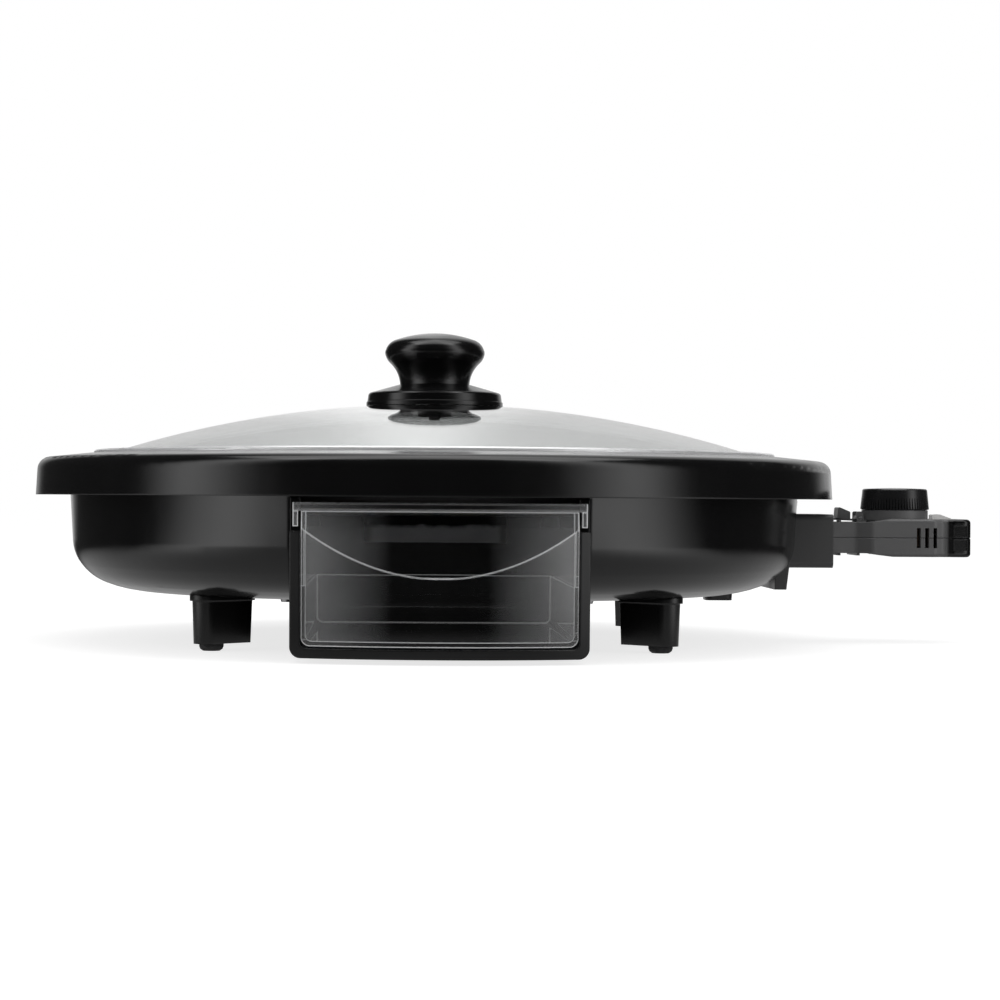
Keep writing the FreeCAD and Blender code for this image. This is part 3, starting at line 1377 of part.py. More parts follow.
def make_case_lower():
    body = case_half("probe_housing_lower", -1)
    low = probe_z - s.case_half_height
    ribs = Drawing(body, "YZ", s.neck_end - 12)
    ribs.box(-s.neck_half_width + 3, s.neck_half_width - 3, probe_z - s.neck_half_height - 1.3,
             probe_z - s.neck_half_height + 1)
    pad(body, ribs, 1.4)
    ribs = Drawing(body, "YZ", s.neck_end - 2)
    ribs.box(-s.neck_half_width + 3, s.neck_half_width - 3, probe_z - s.neck_half_height - 1.3,
             probe_z - s.neck_half_height + 1)
    pad(body, ribs, 1.6)
    heads = Drawing(body, "XY", low - 1)
    shanks = Drawing(body, "XY", low - 1)
    for x, y in CASE_SCREWS:
        heads.circle(x, y, s.case_screw_head + s.fit_gap)
        shanks.circle(x, y, s.case_screw_radius + s.fit_gap)
    cut(body, heads, 3, along_normal=True)
    cut(body, shanks, s.case_half_height + 2, along_normal=True)
    keep(body, "probe_housing_lower")
    screws = []
    for n, (x, y) in enumerate(CASE_SCREWS):
        head = doc.addObject("Part::Cone", f"case_screw_{n}_head")
        bind(head, "Radius1", s.case_screw_head * 0.8)
        bind(head, "Radius2", s.case_screw_head)
        bind(head, "Height", 1.4)
        bind(head, "Placement.Base.x", plate_axis_x + x)
        bind(head, "Placement.Base.y", y)
        bind(head, "Placement.Base.z", low + 0.6)
        whole = doc.addObject("Part::Fuse", f"case_screw_{n}")
        whole.Base = head
        whole.Tool = post(f"case_screw_{n}_shank", x, y, low + 2, s.case_screw_radius, s.case_half_height + 2)
        screws.append(whole)
    group("probe_screws", screws)


def make_case_upper():
    body = case_half("probe_housing_upper", 1)
    high = probe_z + s.case_half_height
    neck_z = probe_z + s.neck_half_height
    collar = Drawing(body, "XY", high - 1)
    collar.circle(s.dial_centre, 0, s.collar_radius)
    pad(body, collar, s.collar_height + 1)
    for side in (-1, 1):
        rib = Drawing(body, "YZ", s.neck_end - 12)
        edges = sorted((side * 9, side * (s.neck_half_width.value - 2)))
        rib.box(*edges, neck_z - 1, neck_z + 1.2)
        pad(body, rib, 1.4)
        ear = Drawing(body, "XZ", side * s.ear_gap - (s.ear_thickness if side < 0 else 0))
        ear.outline((s.pivot_reach - 1.9, neck_z - 0.5), (s.pivot_reach + 3.4, neck_z - 0.5),
                    (s.pivot_reach + 0.8, neck_z + 5.6, 1), (s.pivot_reach - 1.9, neck_z + 5.6, 1))
        pad(body, ear, s.ear_thickness)
    pin = Drawing(body, "XZ", -s.ear_gap - s.ear_thickness - 1)
    pin.circle(s.pivot_reach, probe_z + s.pivot_rise, s.pin_radius + 0.02)
    cut(body, pin, 2 * (s.ear_gap + s.ear_thickness + 1), along_normal=True)
    shaft = Drawing(body, "XY", probe_z)
    shaft.circle(s.dial_centre, 0, s.shaft_radius + s.fit_gap)
    cut(body, shaft, s.case_half_height + s.collar_height + 1, along_normal=True)
    window = Drawing(body, "XY", probe_z + 4)
    window.box(s.lens_start + 1.5, s.lens_start + 8, -3.2, 3.2, 1)
    cut(body, window, s.case_half_height, along_normal=True)
    pilots = Drawing(body, "XY", probe_z - 1)
    for x, y in CASE_SCREWS:
        pilots.circle(x, y, s.case_screw_radius + s.fit_gap)
    cut(body, pilots, 6.5, along_normal=True)
    keep(body, "probe_housing_upper")


def make_probe():
    """The sensing rod, the two contact sleeves on the terminals, and the switch block they end at."""
    keep(rod("probe_rod", s.rod_tip, s.block_start - s.fit_gap, 0, probe_z, s.rod_radius), "probe_rod")
    contacts = []
    start = s.neck_start + 1
    for side in (-1, 1):
        y = side * s.terminal_offset
        tag = f"contact_{side + 2}"
        sleeve = doc.addObject("Part::Cut", f"{tag}_sleeve")
        sleeve.Base = rod(f"{tag}_body", start, start + s.contact_length, y, probe_z, s.contact_radius)
        sleeve.Tool = rod(f"{tag}_bore", start, start + s.contact_length - 1.5, y, probe_z,
                          s.terminal_radius + s.small_gap)
        contact = doc.addObject("Part::Fuse", tag)
        contact.Base = sleeve
        tail_end = s.block_start - s.fit_gap
        contact.Tool = rod(f"{tag}_tail", start + s.contact_length - 1, tail_end, y, probe_z, 1.2)
        contacts.append(contact)
    group("probe_contacts", contacts)
    block = new_body("thermostat_block")
    base = Drawing(block, "XY", probe_z - s.case_half_height + s.case_wall + s.fit_gap)
    base.box(s.block_start, s.block_end, -s.block_half_width, s.block_half_width, 2)
    pad(block, base, 14)
    socket = Drawing(block, "XY", probe_z - 1)
    socket.circle(s.dial_centre, 0, s.shaft_radius + s.fit_gap)
    cut(block, socket, 10, along_normal=True)
    keep(block, "thermostat_block")


def make_dial():
    """The knurled dial and its shaft, drawn about the dial's own axis."""
    body = new_body("dial", s.dial_centre)
    low = probe_z + s.case_half_height + s.collar_height + s.dial_gap
    high = low + s.dial_height
    bore = s.shaft_radius + 0.05
    face = s.dial_top_radius - 0.6
    section = Drawing(body, "XZ")
    section.outline((0, low + s.dial_socket), (bore, low + s.dial_socket),
                    (bore, low), (s.dial_radius - 0.5, low),
                    (s.dial_radius, low + 0.5), (s.dial_top_radius, high - 0.6), (face, high),
                    dome_bend(face, high, size(0.5)), (0, high + 0.5))
    turn(body, section)
    knurl = Drawing(body, "XY", low - 0.1)
    out = s.dial_radius + 0.2
    knurl.outline((out, -0.55), (out, 0.55), (s.dial_radius - s.knurl_depth, 0))
    around(body, cut(body, knurl, s.knurl_height, along_normal=True), s.knurl_count)
    keep(body, "dial")
    foot = probe_z - 1 + s.fit_gap
    keep(post("dial_shaft", s.dial_centre, 0, foot, s.shaft_radius, low + s.dial_socket - s.fit_gap - foot),
         "dial_shaft")


def make_lever():
    """The release lever: a hub on its pin, a thin arm to the sleeve and a tilted thumb pad."""
    body = new_body("release_lever")
    pivot_x = s.pivot_reach
    pivot_z = probe_z + s.pivot_rise
    neck_z = probe_z + s.neck_half_height
    arm = Drawing(body, "XZ")
    arm.outline((s.lever_tip, neck_z + 1.5), (pivot_x, neck_z + 0.5), (pivot_x, neck_z + 1.6),
                (s.lever_tip, neck_z + 2.4))
    pad(body, arm, 7, both_ways=True)
    thumb = Drawing(body, "XZ")
    left_z = neck_z + 2.1
    right_z = neck_z + 0.8
    thumb.outline((s.thumb_start, left_z), (s.thumb_end, right_z), (s.thumb_end, left_z + 3.3, 0.8),
                  (s.thumb_start + 0.6, left_z + s.thumb_thickness, 0.8))
    pad(body, thumb, 12, both_ways=True)
    hub = Drawing(body, "XZ")
    hub.circle(pivot_x, pivot_z, s.lever_hub)
    pad(body, hub, 2 * (s.ear_gap - s.small_gap), both_ways=True)
    bore = Drawing(body, "XZ")
    bore.circle(pivot_x, pivot_z, s.pin_radius + 0.08)
    cut(body, bore, 20, both_ways=True)
    keep(body, "release_lever")
    pin = new_body("lever_pin")
    section = Drawing(pin, "XZ")
    section.circle(pivot_x, pivot_z, s.pin_radius)
    pad(pin, section, 2 * (s.ear_gap + s.ear_thickness), both_ways=True)
    keep(pin, "lever_pin")


def make_lamp():
    """The wedge-shaped window on the case and the lamp under it."""
    body = new_body("pilot_lens")
    top = probe_z + s.case_half_height
    start = s.lens_start
    wedge = Drawing(body, "XZ")
    wedge.outline((start, top), (start + s.lens_length, top), (start + s.lens_length - 0.5, top + 0.3),
                  (start + 4, top + s.lens_height, 3), (start, top + s.lens_height, 0.8))
    pad(body, wedge, 2 * s.lens_half_width, both_ways=True)
    stem = Drawing(body, "XY", top + 0.5)
    stem.box(start + 1.8, start + 7.7, -2.9, 2.9, 1)
    pad(body, stem, s.case_wall + 1.5, backwards=True)
    keep(body, "pilot_lens")
    level = top - s.case_wall - 1.2 - s.lamp_radius
    keep(rod("pilot_lamp", s.block_end + s.fit_gap, start + 7.5, 0, level, s.lamp_radius), "pilot_lamp")


def make_cord_bush():
    """A rubber bush in the case's rear wall, where the cord enters."""
    body = new_body("cord_bush")
    wide = s.case_half_width
    hole = s.cord_hole
    body_out = Drawing(body, "XZ", -wide + s.case_wall + 1.8)
    body_out.circle(s.cord_place, probe_z, hole + s.bush_wall)
    pad(body, body_out, s.bush_length, backwards=True)
    collar = Drawing(body, "XZ", -wide - s.fit_gap)
    collar.circle(s.cord_place, probe_z, hole + 3)
    pad(body, collar, 1.6, backwards=True)
    bore = Drawing(body, "XZ", -wide + s.case_wall + 3)
    bore.circle(s.cord_place, probe_z, hole)
    cut(body, bore, s.bush_length + 4)
    return keep(body, "cord_bush")


make_base_shell()
make_rim_ring()
make_grill_plate()
make_heating_element()
make_terminals()
make_clamps()
make_reflector()
make_chute()
make_plate_screws()
make_feet()
make_tray_housing()
make_drip_tray()
make_lid_glass()
make_lid_band()
make_knob_plate()
make_knob()
make_knob_fixing()
make_socket_guard()
make_case_lower()
make_case_upper()
make_probe()
make_dial()
make_lever()
make_lamp()
make_cord_bush()


def check_and_write():
    """Stops at a failed object or a bad shape, then writes each piece to its own file."""
    doc.recompute()
    for thing in doc.Objects:
        if "Invalid" in thing.State or "Error" in thing.State:
            raise RuntimeError(f"{thing.Name} failed: {thing.State}")
    os.makedirs("parts", exist_ok=True)
    for piece in pieces:
        if piece.Shape.isNull() or not piece.Shape.isValid():
            raise RuntimeError(f"{piece.Label} has no valid shape")
        piece.Shape.exportStep(f"parts/{piece.Label}.step")


check_and_write()
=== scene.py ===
import json
import math

import bmesh
import bpy
from mathutils import Matrix, Vector


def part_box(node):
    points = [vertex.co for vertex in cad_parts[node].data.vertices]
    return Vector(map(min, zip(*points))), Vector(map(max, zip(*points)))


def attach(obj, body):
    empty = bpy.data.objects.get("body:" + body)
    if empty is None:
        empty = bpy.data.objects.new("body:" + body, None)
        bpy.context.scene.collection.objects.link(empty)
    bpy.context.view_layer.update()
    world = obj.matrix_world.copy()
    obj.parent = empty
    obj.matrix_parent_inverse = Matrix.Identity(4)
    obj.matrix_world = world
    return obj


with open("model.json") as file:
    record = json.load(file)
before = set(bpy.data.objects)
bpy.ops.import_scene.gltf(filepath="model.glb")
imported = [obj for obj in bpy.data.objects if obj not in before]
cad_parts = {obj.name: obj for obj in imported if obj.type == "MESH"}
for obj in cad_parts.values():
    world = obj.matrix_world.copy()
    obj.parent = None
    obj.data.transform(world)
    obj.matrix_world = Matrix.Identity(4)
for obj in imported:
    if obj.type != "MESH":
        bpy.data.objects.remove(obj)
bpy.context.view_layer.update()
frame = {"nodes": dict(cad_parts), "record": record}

# Places in metres
PLATE_X = -0.03685
DIAL_X = 0.20995
GRIP_X = 0.2342
CHUTE_LIP_Z = 0.0603

# Colours that several finishes share
BLACK = (0.004, 0.004, 0.0042)
GREY = (0.105, 0.105, 0.106)
DUST = (0.05, 0.05, 0.052)
DRAWER_TINT = (0.95, 0.955, 0.96)

# Stretch of a metal's grain that runs along X
ALONG_X = (0.04, 1, 1)

# The clear drawer's edges carry a painted highlight, whitened and glowing though the drawer is no lamp: their
# width in metres, and how much they glow
PAINTED_EDGE_WIDTH = 0.0009
PAINTED_EDGE_GLOW = 0.10

# The drawer's paler ends, a painted reflection of the side lights: where it starts and is full, in metres
# from the middle, and how strong it is
PAINTED_SHEEN_STARTS = 0.022
PAINTED_SHEEN_IS_FULL = 0.066
PAINTED_SHEEN = 0.12

# Strokes on the dial, in metres and radians
DIAL_RING = 0.0142
DIAL_LENGTH = 0.0022
DIAL_STROKE = 0.0006
DIAL_STEP = math.radians(27)
DIAL_SPAN = math.radians(140)

# The lip under the dial, in metres, and its steps round. It hangs from the dial and reaches up into it.
LIP_INNER = 0.0100
LIP_OUTER = 0.0171
LIP_DROP = 0.00024
LIP_RISE = 0.0004
LIP_BEVEL = 0.00008
LIP_STEPS = 144

# Camera in metres and degrees, worked out from the rim, feet and knob in the photograph
CAMERA_DISTANCE = 1.300
CAMERA_HEIGHT = 0.076
CAMERA_ROLL = 0.38
OBJECT_YAW = 0.88
SENSOR_MM = 36
FOCAL_MM = 87.6
SHIFT_X = 0.066
SHIFT_Y = -0.003
SEES_TO = 60

# The floor, in metres from the plate's middle, and what lamps, camera and reflections find there
FLOOR_REACH = 24
NEAR_FLOOR = 0.20
FAR_FLOOR = 0.52
FLOOR_SHADE = 0.40
FLOOR_GLOW = 0.76
NEAR_FLOOR_GLOSS = 0.45

# Light that matt faces find all round
AMBIENT = 0.60

# Brightness that reflections find in front, in the soft lights, at the sides and behind
FRONT_GLOSS = 0.015
SOFTBOX_GLOSS = 1.85
SIDE_GLOSS = 0.03
BACK_GLOSS = 0.72

# The card right behind the object: how much brighter it is, and the sine of half its width
CARD_GAIN = 1.50
CARD_WIDTH = 0.095

# Each soft light's turn, and where it starts, is brightest and ends, from 0 in front to 1 behind.
# The floor shows the low one and the world the high one. The back is on the same scale.
LOW_SOFTBOX = (math.radians(3.5), 0.02, 0.205, 0.45)
HIGH_SOFTBOX = (math.radians(8), 0.10, 0.28, 0.44)
BACK_STARTS = 0.90
BACK_IS_FULL = 0.99


def set_view():
    bpy.context.scene.view_settings.view_transform = "Standard"


def make_camera():
    data = bpy.data.cameras.new("camera")
    data.sensor_width = SENSOR_MM
    data.lens = FOCAL_MM
    data.shift_x = SHIFT_X
    data.shift_y = SHIFT_Y
    data.clip_end = SEES_TO
    camera = bpy.data.objects.new("camera", data)
    bpy.context.scene.collection.objects.link(camera)
    yaw = math.radians(-OBJECT_YAW)
    away = Matrix.Rotation(yaw, 4, "Z") @ Vector((0, -CAMERA_DISTANCE, 0))
    place = Matrix.Translation((PLATE_X + away.x, away.y, CAMERA_HEIGHT))
    upright = Matrix.Rotation(math.radians(90), 4, "X")
    roll = Matrix.Rotation(math.radians(CAMERA_ROLL), 4, "Z")
    camera.matrix_world = place @ Matrix.Rotation(yaw, 4, "Z") @ upright @ roll
    bpy.context.scene.camera = camera


# Shader nodes that materials, floor and world share

def feed(tree, value, socket):
    """Gives a socket a plain number, or links another socket to it."""
    if isinstance(value, (int, float)):
        socket.default_value = value
    else:
        tree.links.new(value, socket)


def number_node(tree, operation, first, second=0.0):
    """A Math node's result from two values, each a socket or a plain number."""
    made = tree.nodes.new("ShaderNodeMath")
    made.operation = operation
    feed(tree, first, made.inputs[0])
    feed(tree, second, made.inputs[1])
    return made.outputs[0]


def reach_of(tree, across, along):
    """The distance of a place from the middle."""
    squares = number_node(tree, "ADD", number_node(tree, "MULTIPLY", across, across),
                          number_node(tree, "MULTIPLY", along, along))
    return number_node(tree, "SQRT", squares)


def mix_node(tree, share, first, second):
    """The first value where share is 0 and the second where it is 1."""
    made = tree.nodes.new("ShaderNodeMix")
    feed(tree, share, made.inputs[0])
    feed(tree, first, made.inputs[2])
    feed(tree, second, made.inputs[3])
    return made.outputs[0]


def map_node(tree, value, start, end, low, high, smooth=False):
    """Maps the value between start and end to low and high."""
    made = tree.nodes.new("ShaderNodeMapRange")
    if smooth:
        made.interpolation_type = "SMOOTHSTEP"
    for name, number in (("From Min", start), ("From Max", end), ("To Min", low), ("To Max", high)):
        made.inputs[name].default_value = number
    feed(tree, value, made.inputs["Value"])
    return made.outputs["Result"]


def parts_of(tree, vector):
    """The X, Y and Z sockets of a vector."""
    made = tree.nodes.new("ShaderNodeSeparateXYZ")
    tree.links.new(vector, made.inputs[0])
    return made.outputs


def is_reflected(tree):
    """1 for rays that leave a glossy or a clear face, and 0 for the others."""
    path = tree.nodes.new("ShaderNodeLightPath")
    return number_node(tree, "MAXIMUM", path.outputs["Is Glossy Ray"], path.outputs["Is Transmission Ray"])


def is_from_camera(tree):
    return tree.nodes.new("ShaderNodeLightPath").outputs["Is Camera Ray"]


# Materials. Each finish starts from one Principled shader, and its methods add nodes to that.

class Finish:
    def __init__(self, name, colour, roughness, metallic=0.0):
        self.material = bpy.data.materials.new(name)
        self.material.use_nodes = True
        self.tree = self.material.node_tree
        self.shader = self.tree.nodes["Principled BSDF"]
        self.set("Base Color", (*colour, 1))
        self.set("Roughness", roughness)
        self.set("Metallic", metallic)
        self.place = self.node("ShaderNodeTexCoord").outputs["Object"]

    def node(self, kind, **settings):
        made = self.tree.nodes.new(kind)
        for name, value in settings.items():
            setattr(made, name, value)
        return made

    def link(self, source, target):
        self.tree.links.new(source, target)

    def set(self, socket, value):
        self.shader.inputs[socket].default_value = value

    def position(self):
        """The sockets of a point's place in the piece."""
        return parts_of(self.tree, self.place)

    def maths(self, operation, first, second=0.0):
        return number_node(self.tree, operation, first, second)

    def times(self, first, second):
        return self.maths("MULTIPLY", first, second)

    def noise(self, size, detail=3.0, stretch=(1, 1, 1)):
        """Noise with features about size metres across, longer where stretch is below 1."""
        mapping = self.node("ShaderNodeMapping")
        mapping.inputs["Scale"].default_value = stretch
        self.link(self.place, mapping.inputs["Vector"])
        made = self.node("ShaderNodeTexNoise")
        made.inputs["Scale"].default_value = 1 / size
        made.inputs["Detail"].default_value = detail
        self.link(mapping.outputs["Vector"], made.inputs["Vector"])
        return made.outputs["Fac"]

    def spread(self, value, low, high, start=0.35, end=0.65):
        """Maps the value between start and end to low and high. The default suits noise."""
        return map_node(self.tree, value, start, end, low, high)

    def blend(self, share, first, second):
        """A colour between two, each a plain colour or a socket."""
        made = self.node("ShaderNodeMix", data_type="RGBA")
        self.link(share, made.inputs["Factor"])
        for socket, colour in ((made.inputs[6], first), (made.inputs[7], second)):
            if isinstance(colour, tuple):
                socket.default_value = (*colour, 1)
            else:
                self.link(colour, socket)
        return made.outputs[2]

    def tint(self, colour):
        self.link(colour, self.shader.inputs["Base Color"])

    def tinted(self):
        """The socket that gives the colour so far."""
        return self.shader.inputs["Base Color"].links[0].from_socket

    def rough(self, value):
        self.link(value, self.shader.inputs["Roughness"])

    def bump(self, height, depth, strength=1.0):
        """Relief depth metres deep, on top of the relief so far."""
        made = self.node("ShaderNodeBump")
        made.inputs["Distance"].default_value = depth
        made.inputs["Strength"].default_value = strength
        self.link(height, made.inputs["Height"])
        if self.shader.inputs["Normal"].links:
            self.link(self.shader.inputs["Normal"].links[0].from_socket, made.inputs["Normal"])
        self.link(made.outputs["Normal"], self.shader.inputs["Normal"])

    def facing_up(self, start=0.6, end=1.0):
        """1 on faces that look up and 0 on walls."""
        normal = self.node("ShaderNodeNewGeometry").outputs["Normal"]
        return self.spread(parts_of(self.tree, normal)["Z"], 0, 1, start, end)

    def rounded(self, radius):
        """The direction that a face looks in if the corners of the piece had this round."""
        made = self.node("ShaderNodeBevel", samples=6)
        made.inputs["Radius"].default_value = radius
        return made.outputs["Normal"]

    def soften_corners(self, radius):
        """Shades the corners of the solid as if they had a small round, under all relief."""
        first = self.shader.inputs["Normal"]
        while first.links:
            first = first.links[0].from_node.inputs["Normal"]
        self.link(self.rounded(radius), first)

    def edges(self, width):
        """1 within about this width of an edge of the piece and 0 on its faces."""
        compared = self.node("ShaderNodeVectorMath", operation="DOT_PRODUCT")
        self.link(self.rounded(width), compared.inputs[0])
        self.link(self.node("ShaderNodeNewGeometry").outputs["Normal"], compared.inputs[1])
        return self.spread(compared.outputs["Value"], 1, 0, start=0.97, end=0.995)

    def lets_lamps_through(self, tint):
        """Lamp light passes the clear piece, so that what is inside it isn't black."""
        path = self.node("ShaderNodeLightPath")
        clear_face = self.node("ShaderNodeBsdfTransparent")
        clear_face.inputs["Color"].default_value = (*tint, 1)
        mix = self.node("ShaderNodeMixShader")
        self.link(path.outputs["Is Shadow Ray"], mix.inputs[0])
        self.link(self.shader.outputs[0], mix.inputs[1])
        self.link(clear_face.outputs[0], mix.inputs[2])
        self.link(mix.outputs[0], self.tree.nodes["Material Output"].inputs["Surface"])


def scaled(colour, factor):
    return tuple(min(1.0, part * factor) for part in colour)


def moulded(name, colour, gloss, grain=0.0, dust=0.10, corner=0.0):
    """Plastic with a slightly uneven gloss, faint dust on top, a moulded grain and soft corners."""
    made = Finish(name, colour, gloss)
    plain = made.blend(made.noise(0.055, detail=2), scaled(colour, 0.8), scaled(colour, 1.3))
    dusty = made.times(made.facing_up(), made.spread(made.noise(0.004, detail=5), 0, dust))
    made.tint(made.blend(dusty, plain, DUST))
    wiped = made.noise(0.018, detail=4, stretch=(1, 1, 0.4))
    made.rough(made.spread(wiped, gloss * 0.85, gloss * 1.2))
    made.bump(made.noise(0.03, detail=1), 0.00012, 0.25)
    if grain:
        made.bump(made.noise(grain, detail=2), grain * 0.12, 0.35)
    if corner:
        made.soften_corners(corner)
    return made


def rubber(name, colour):
    made = Finish(name, colour, 0.75)
    made.tint(made.blend(made.noise(0.002, detail=4), scaled(colour, 0.7), scaled(colour, 1.5)))
    made.rough(made.spread(made.noise(0.003), 0.65, 0.9))
    made.bump(made.noise(0.0004, detail=2), 0.00006, 0.5)
    return made


def metal(name, colour, roughness, brush=(1, 1, 1), grain=0.0006, mark=0.012, metallic=1.0):
    """Metal with a brushed or rolled grain along the axis of smallest stretch, and handling marks."""
    made = Finish(name, colour, roughness, metallic)
    lines = made.noise(grain, stretch=brush)
    marks = made.noise(mark, detail=4)
    made.tint(made.blend(marks, scaled(colour, 0.86), scaled(colour, 1.06)))
    made.rough(made.spread(lines, roughness * 0.75, roughness * 1.35))
    made.bump(lines, grain * 0.06, 0.3)
    return made


def clear(name, colour, ior, gloss, shadow):
    """Clear plastic or glass, with faint smears and a slow wave from the mould."""
    made = Finish(name, colour, gloss)
    made.set("IOR", ior)
    made.set("Transmission Weight", 1.0)
    made.rough(made.spread(made.noise(0.02, detail=4), gloss * 0.6, gloss * 1.6))
    made.bump(made.noise(0.12, detail=0), 0.00002, 0.05)
    made.lets_lamps_through(shadow)
    return made


def clear_drawer():
    """Clear plastic with a painted highlight on its sheet edges, which are whitened and glow, and a painted
    reflection of the side lights that makes both ends paler, broken up by noise.
    """
    made = clear("tray_clear", DRAWER_TINT, ior=1.49, gloss=0.004, shadow=(0.85, 0.86, 0.87))
    made.set("Specular IOR Level", 0.9)
    off_centre = made.maths("ABSOLUTE", made.maths("SUBTRACT", made.position()["X"], PLATE_X))
    # Painted reflection: the drawer turns paler towards both ends, standing for the side lights' reflection,
    # broken up by noise.
    ends = made.spread(off_centre, 0, 1, PAINTED_SHEEN_STARTS, PAINTED_SHEEN_IS_FULL)
    painted_sheen_strength = made.spread(made.noise(0.02), PAINTED_SHEEN * 0.7, PAINTED_SHEEN, start=0.3, end=0.7)
    # Painted highlight: the drawer's edges are whitened and made to glow by emission, though the drawer is no
    # lamp.
    painted_edge_highlight = made.edges(PAINTED_EDGE_WIDTH)
    # The painted reflection and the painted edge highlight together make the plastic paler and less clear
    # there.
    painted_sheen_and_edge_highlight = made.maths("MAXIMUM", made.times(ends, painted_sheen_strength), painted_edge_highlight)
    made.tint(made.blend(painted_sheen_and_edge_highlight, DRAWER_TINT, (0.88, 0.89, 0.90)))
    made.link(made.spread(painted_sheen_and_edge_highlight, 1, 0.05, start=0, end=1), made.shader.inputs["Transmission Weight"])
    made.set("Emission Color", (1, 1, 1, 1))
    made.link(made.times(painted_edge_highlight, PAINTED_EDGE_GLOW), made.shader.inputs["Emission Strength"])
    return made


def coated_plate():
    """Cast aluminium under a black non-stick coating, with fine pale flecks."""
    colour = (0.022, 0.021, 0.021)
    made = Finish("plate_coating", colour, 0.36)
    fleck = made.spread(made.noise(0.0009, detail=1), 0, 1, start=0.70, end=0.76)
    cloudy = made.blend(made.noise(0.03), scaled(colour, 0.75), scaled(colour, 1.35))
    made.tint(made.blend(fleck, cloudy, (0.13, 0.125, 0.12)))
    made.rough(made.spread(made.noise(0.012, detail=4), 0.28, 0.44))
    made.bump(made.noise(0.0011), 0.00008, 0.5)
    return made


def heated_steel():
    """The element's sheath: steel that heat has turned straw, brown and blue in patches."""
    made = Finish("element_steel", (0.33, 0.31, 0.29), 0.42, 1.0)
    patch = made.noise(0.022)
    browned = made.spread(patch, 0, 1, start=0.35, end=0.55)
    blued = made.spread(patch, 0, 1, start=0.55, end=0.7)
    straw = made.blend(browned, (0.34, 0.27, 0.2), (0.27, 0.25, 0.25))
    made.tint(made.blend(blued, straw, (0.17, 0.19, 0.24)))
    made.rough(made.spread(made.noise(0.004, detail=4), 0.34, 0.55))
    made.bump(made.noise(0.0007), 0.00005, 0.4)
    return made


def ceramic():
    made = Finish("bead_ceramic", (0.80, 0.77, 0.70), 0.45)
    made.tint(made.blend(made.noise(0.004, detail=4), (0.72, 0.68, 0.6), (0.83, 0.81, 0.76)))
    made.rough(made.spread(made.noise(0.002), 0.35, 0.6))
    made.bump(made.noise(0.0005, detail=2), 0.00004, 0.4)
    return made


def chute_with_painted_shade():
    """Aluminium that is nearly black above its lower lip, a painted shade inside the chute; the lip stays
    bare metal.
    """
    made = metal("chute_aluminium", (0.30, 0.30, 0.31), 0.45)
    ragged = made.maths("ADD", made.times(made.noise(0.012), 0.004), made.position()["Z"])
    # Painted shade: above the lip the chute's colour goes nearly black, where shade falls inside it.
    painted_shade_above_lip = made.spread(ragged, 0, 1, CHUTE_LIP_Z + 0.0015, CHUTE_LIP_Z + 0.0035)
    made.tint(made.blend(painted_shade_above_lip, (0.36, 0.36, 0.37), (0.012, 0.012, 0.012)))
    return made


def phenolic():
    made = Finish("block_phenolic", (0.14, 0.085, 0.05), 0.5)
    made.tint(made.blend(made.noise(0.003, detail=5), (0.10, 0.06, 0.035), (0.2, 0.125, 0.075)))
    made.rough(made.spread(made.noise(0.004), 0.42, 0.62))
    made.bump(made.noise(0.0006), 0.00005, 0.5)
    return made


def pale_lens():
    """The indicator's window: milky plastic that a little light passes."""
    made = Finish("lens_clear", (0.92, 0.91, 0.89), 0.22)
    made.set("IOR", 1.49)
    made.set("Transmission Weight", 0.08)
    made.tint(made.blend(made.noise(0.004), (0.88, 0.87, 0.85), (0.94, 0.935, 0.92)))
    made.rough(made.spread(made.noise(0.006), 0.16, 0.32))
    made.bump(made.noise(0.002, detail=2), 0.00004, 0.3)
    return made


def probe_case():
    """Grey grained plastic whose end is polished black, where fingers hold it."""
    made = moulded("probe_plastic", GREY, 0.38, grain=0.0006, corner=0.0005)
    polished = made.spread(made.position()["X"], 0, 1, GRIP_X - 0.0006, GRIP_X + 0.0006)
    made.tint(made.blend(polished, made.tinted(), BLACK))
    grained = made.shader.inputs["Roughness"].links[0].from_socket
    made.rough(mix_node(made.tree, polished, grained, 0.18))
    return made


def marked_dial():
    """Black plastic with pale strokes round the dial's top, which stand for its settings."""
    made = moulded("dial_plastic", scaled(BLACK, 3.0), 0.24)
    x = made.maths("SUBTRACT", made.position()["X"], DIAL_X)
    y = made.position()["Y"]
    angle = made.maths("ARCTAN2", x, y)
    reach = reach_of(made.tree, x, y)
    turn = made.maths("MULTIPLY", angle, 1 / DIAL_STEP)
    off_line = made.maths("ABSOLUTE", made.maths("SUBTRACT", turn, made.maths("ROUND", turn)))
    across = made.times(made.times(off_line, reach), DIAL_STEP)
    stroke = made.maths("LESS_THAN", across, DIAL_STROKE / 2)
    within = made.maths("LESS_THAN", made.maths("ABSOLUTE", angle), DIAL_SPAN)
    off_ring = made.maths("ABSOLUTE", made.maths("SUBTRACT", reach, DIAL_RING))
    ring = made.maths("LESS_THAN", off_ring, DIAL_LENGTH / 2)
    on_top = made.facing_up(0.8, 0.9)
    mark = made.times(made.times(stroke, ring), made.times(within, on_top))
    made.tint(made.blend(mark, made.tinted(), (0.62, 0.62, 0.6)))
    return made


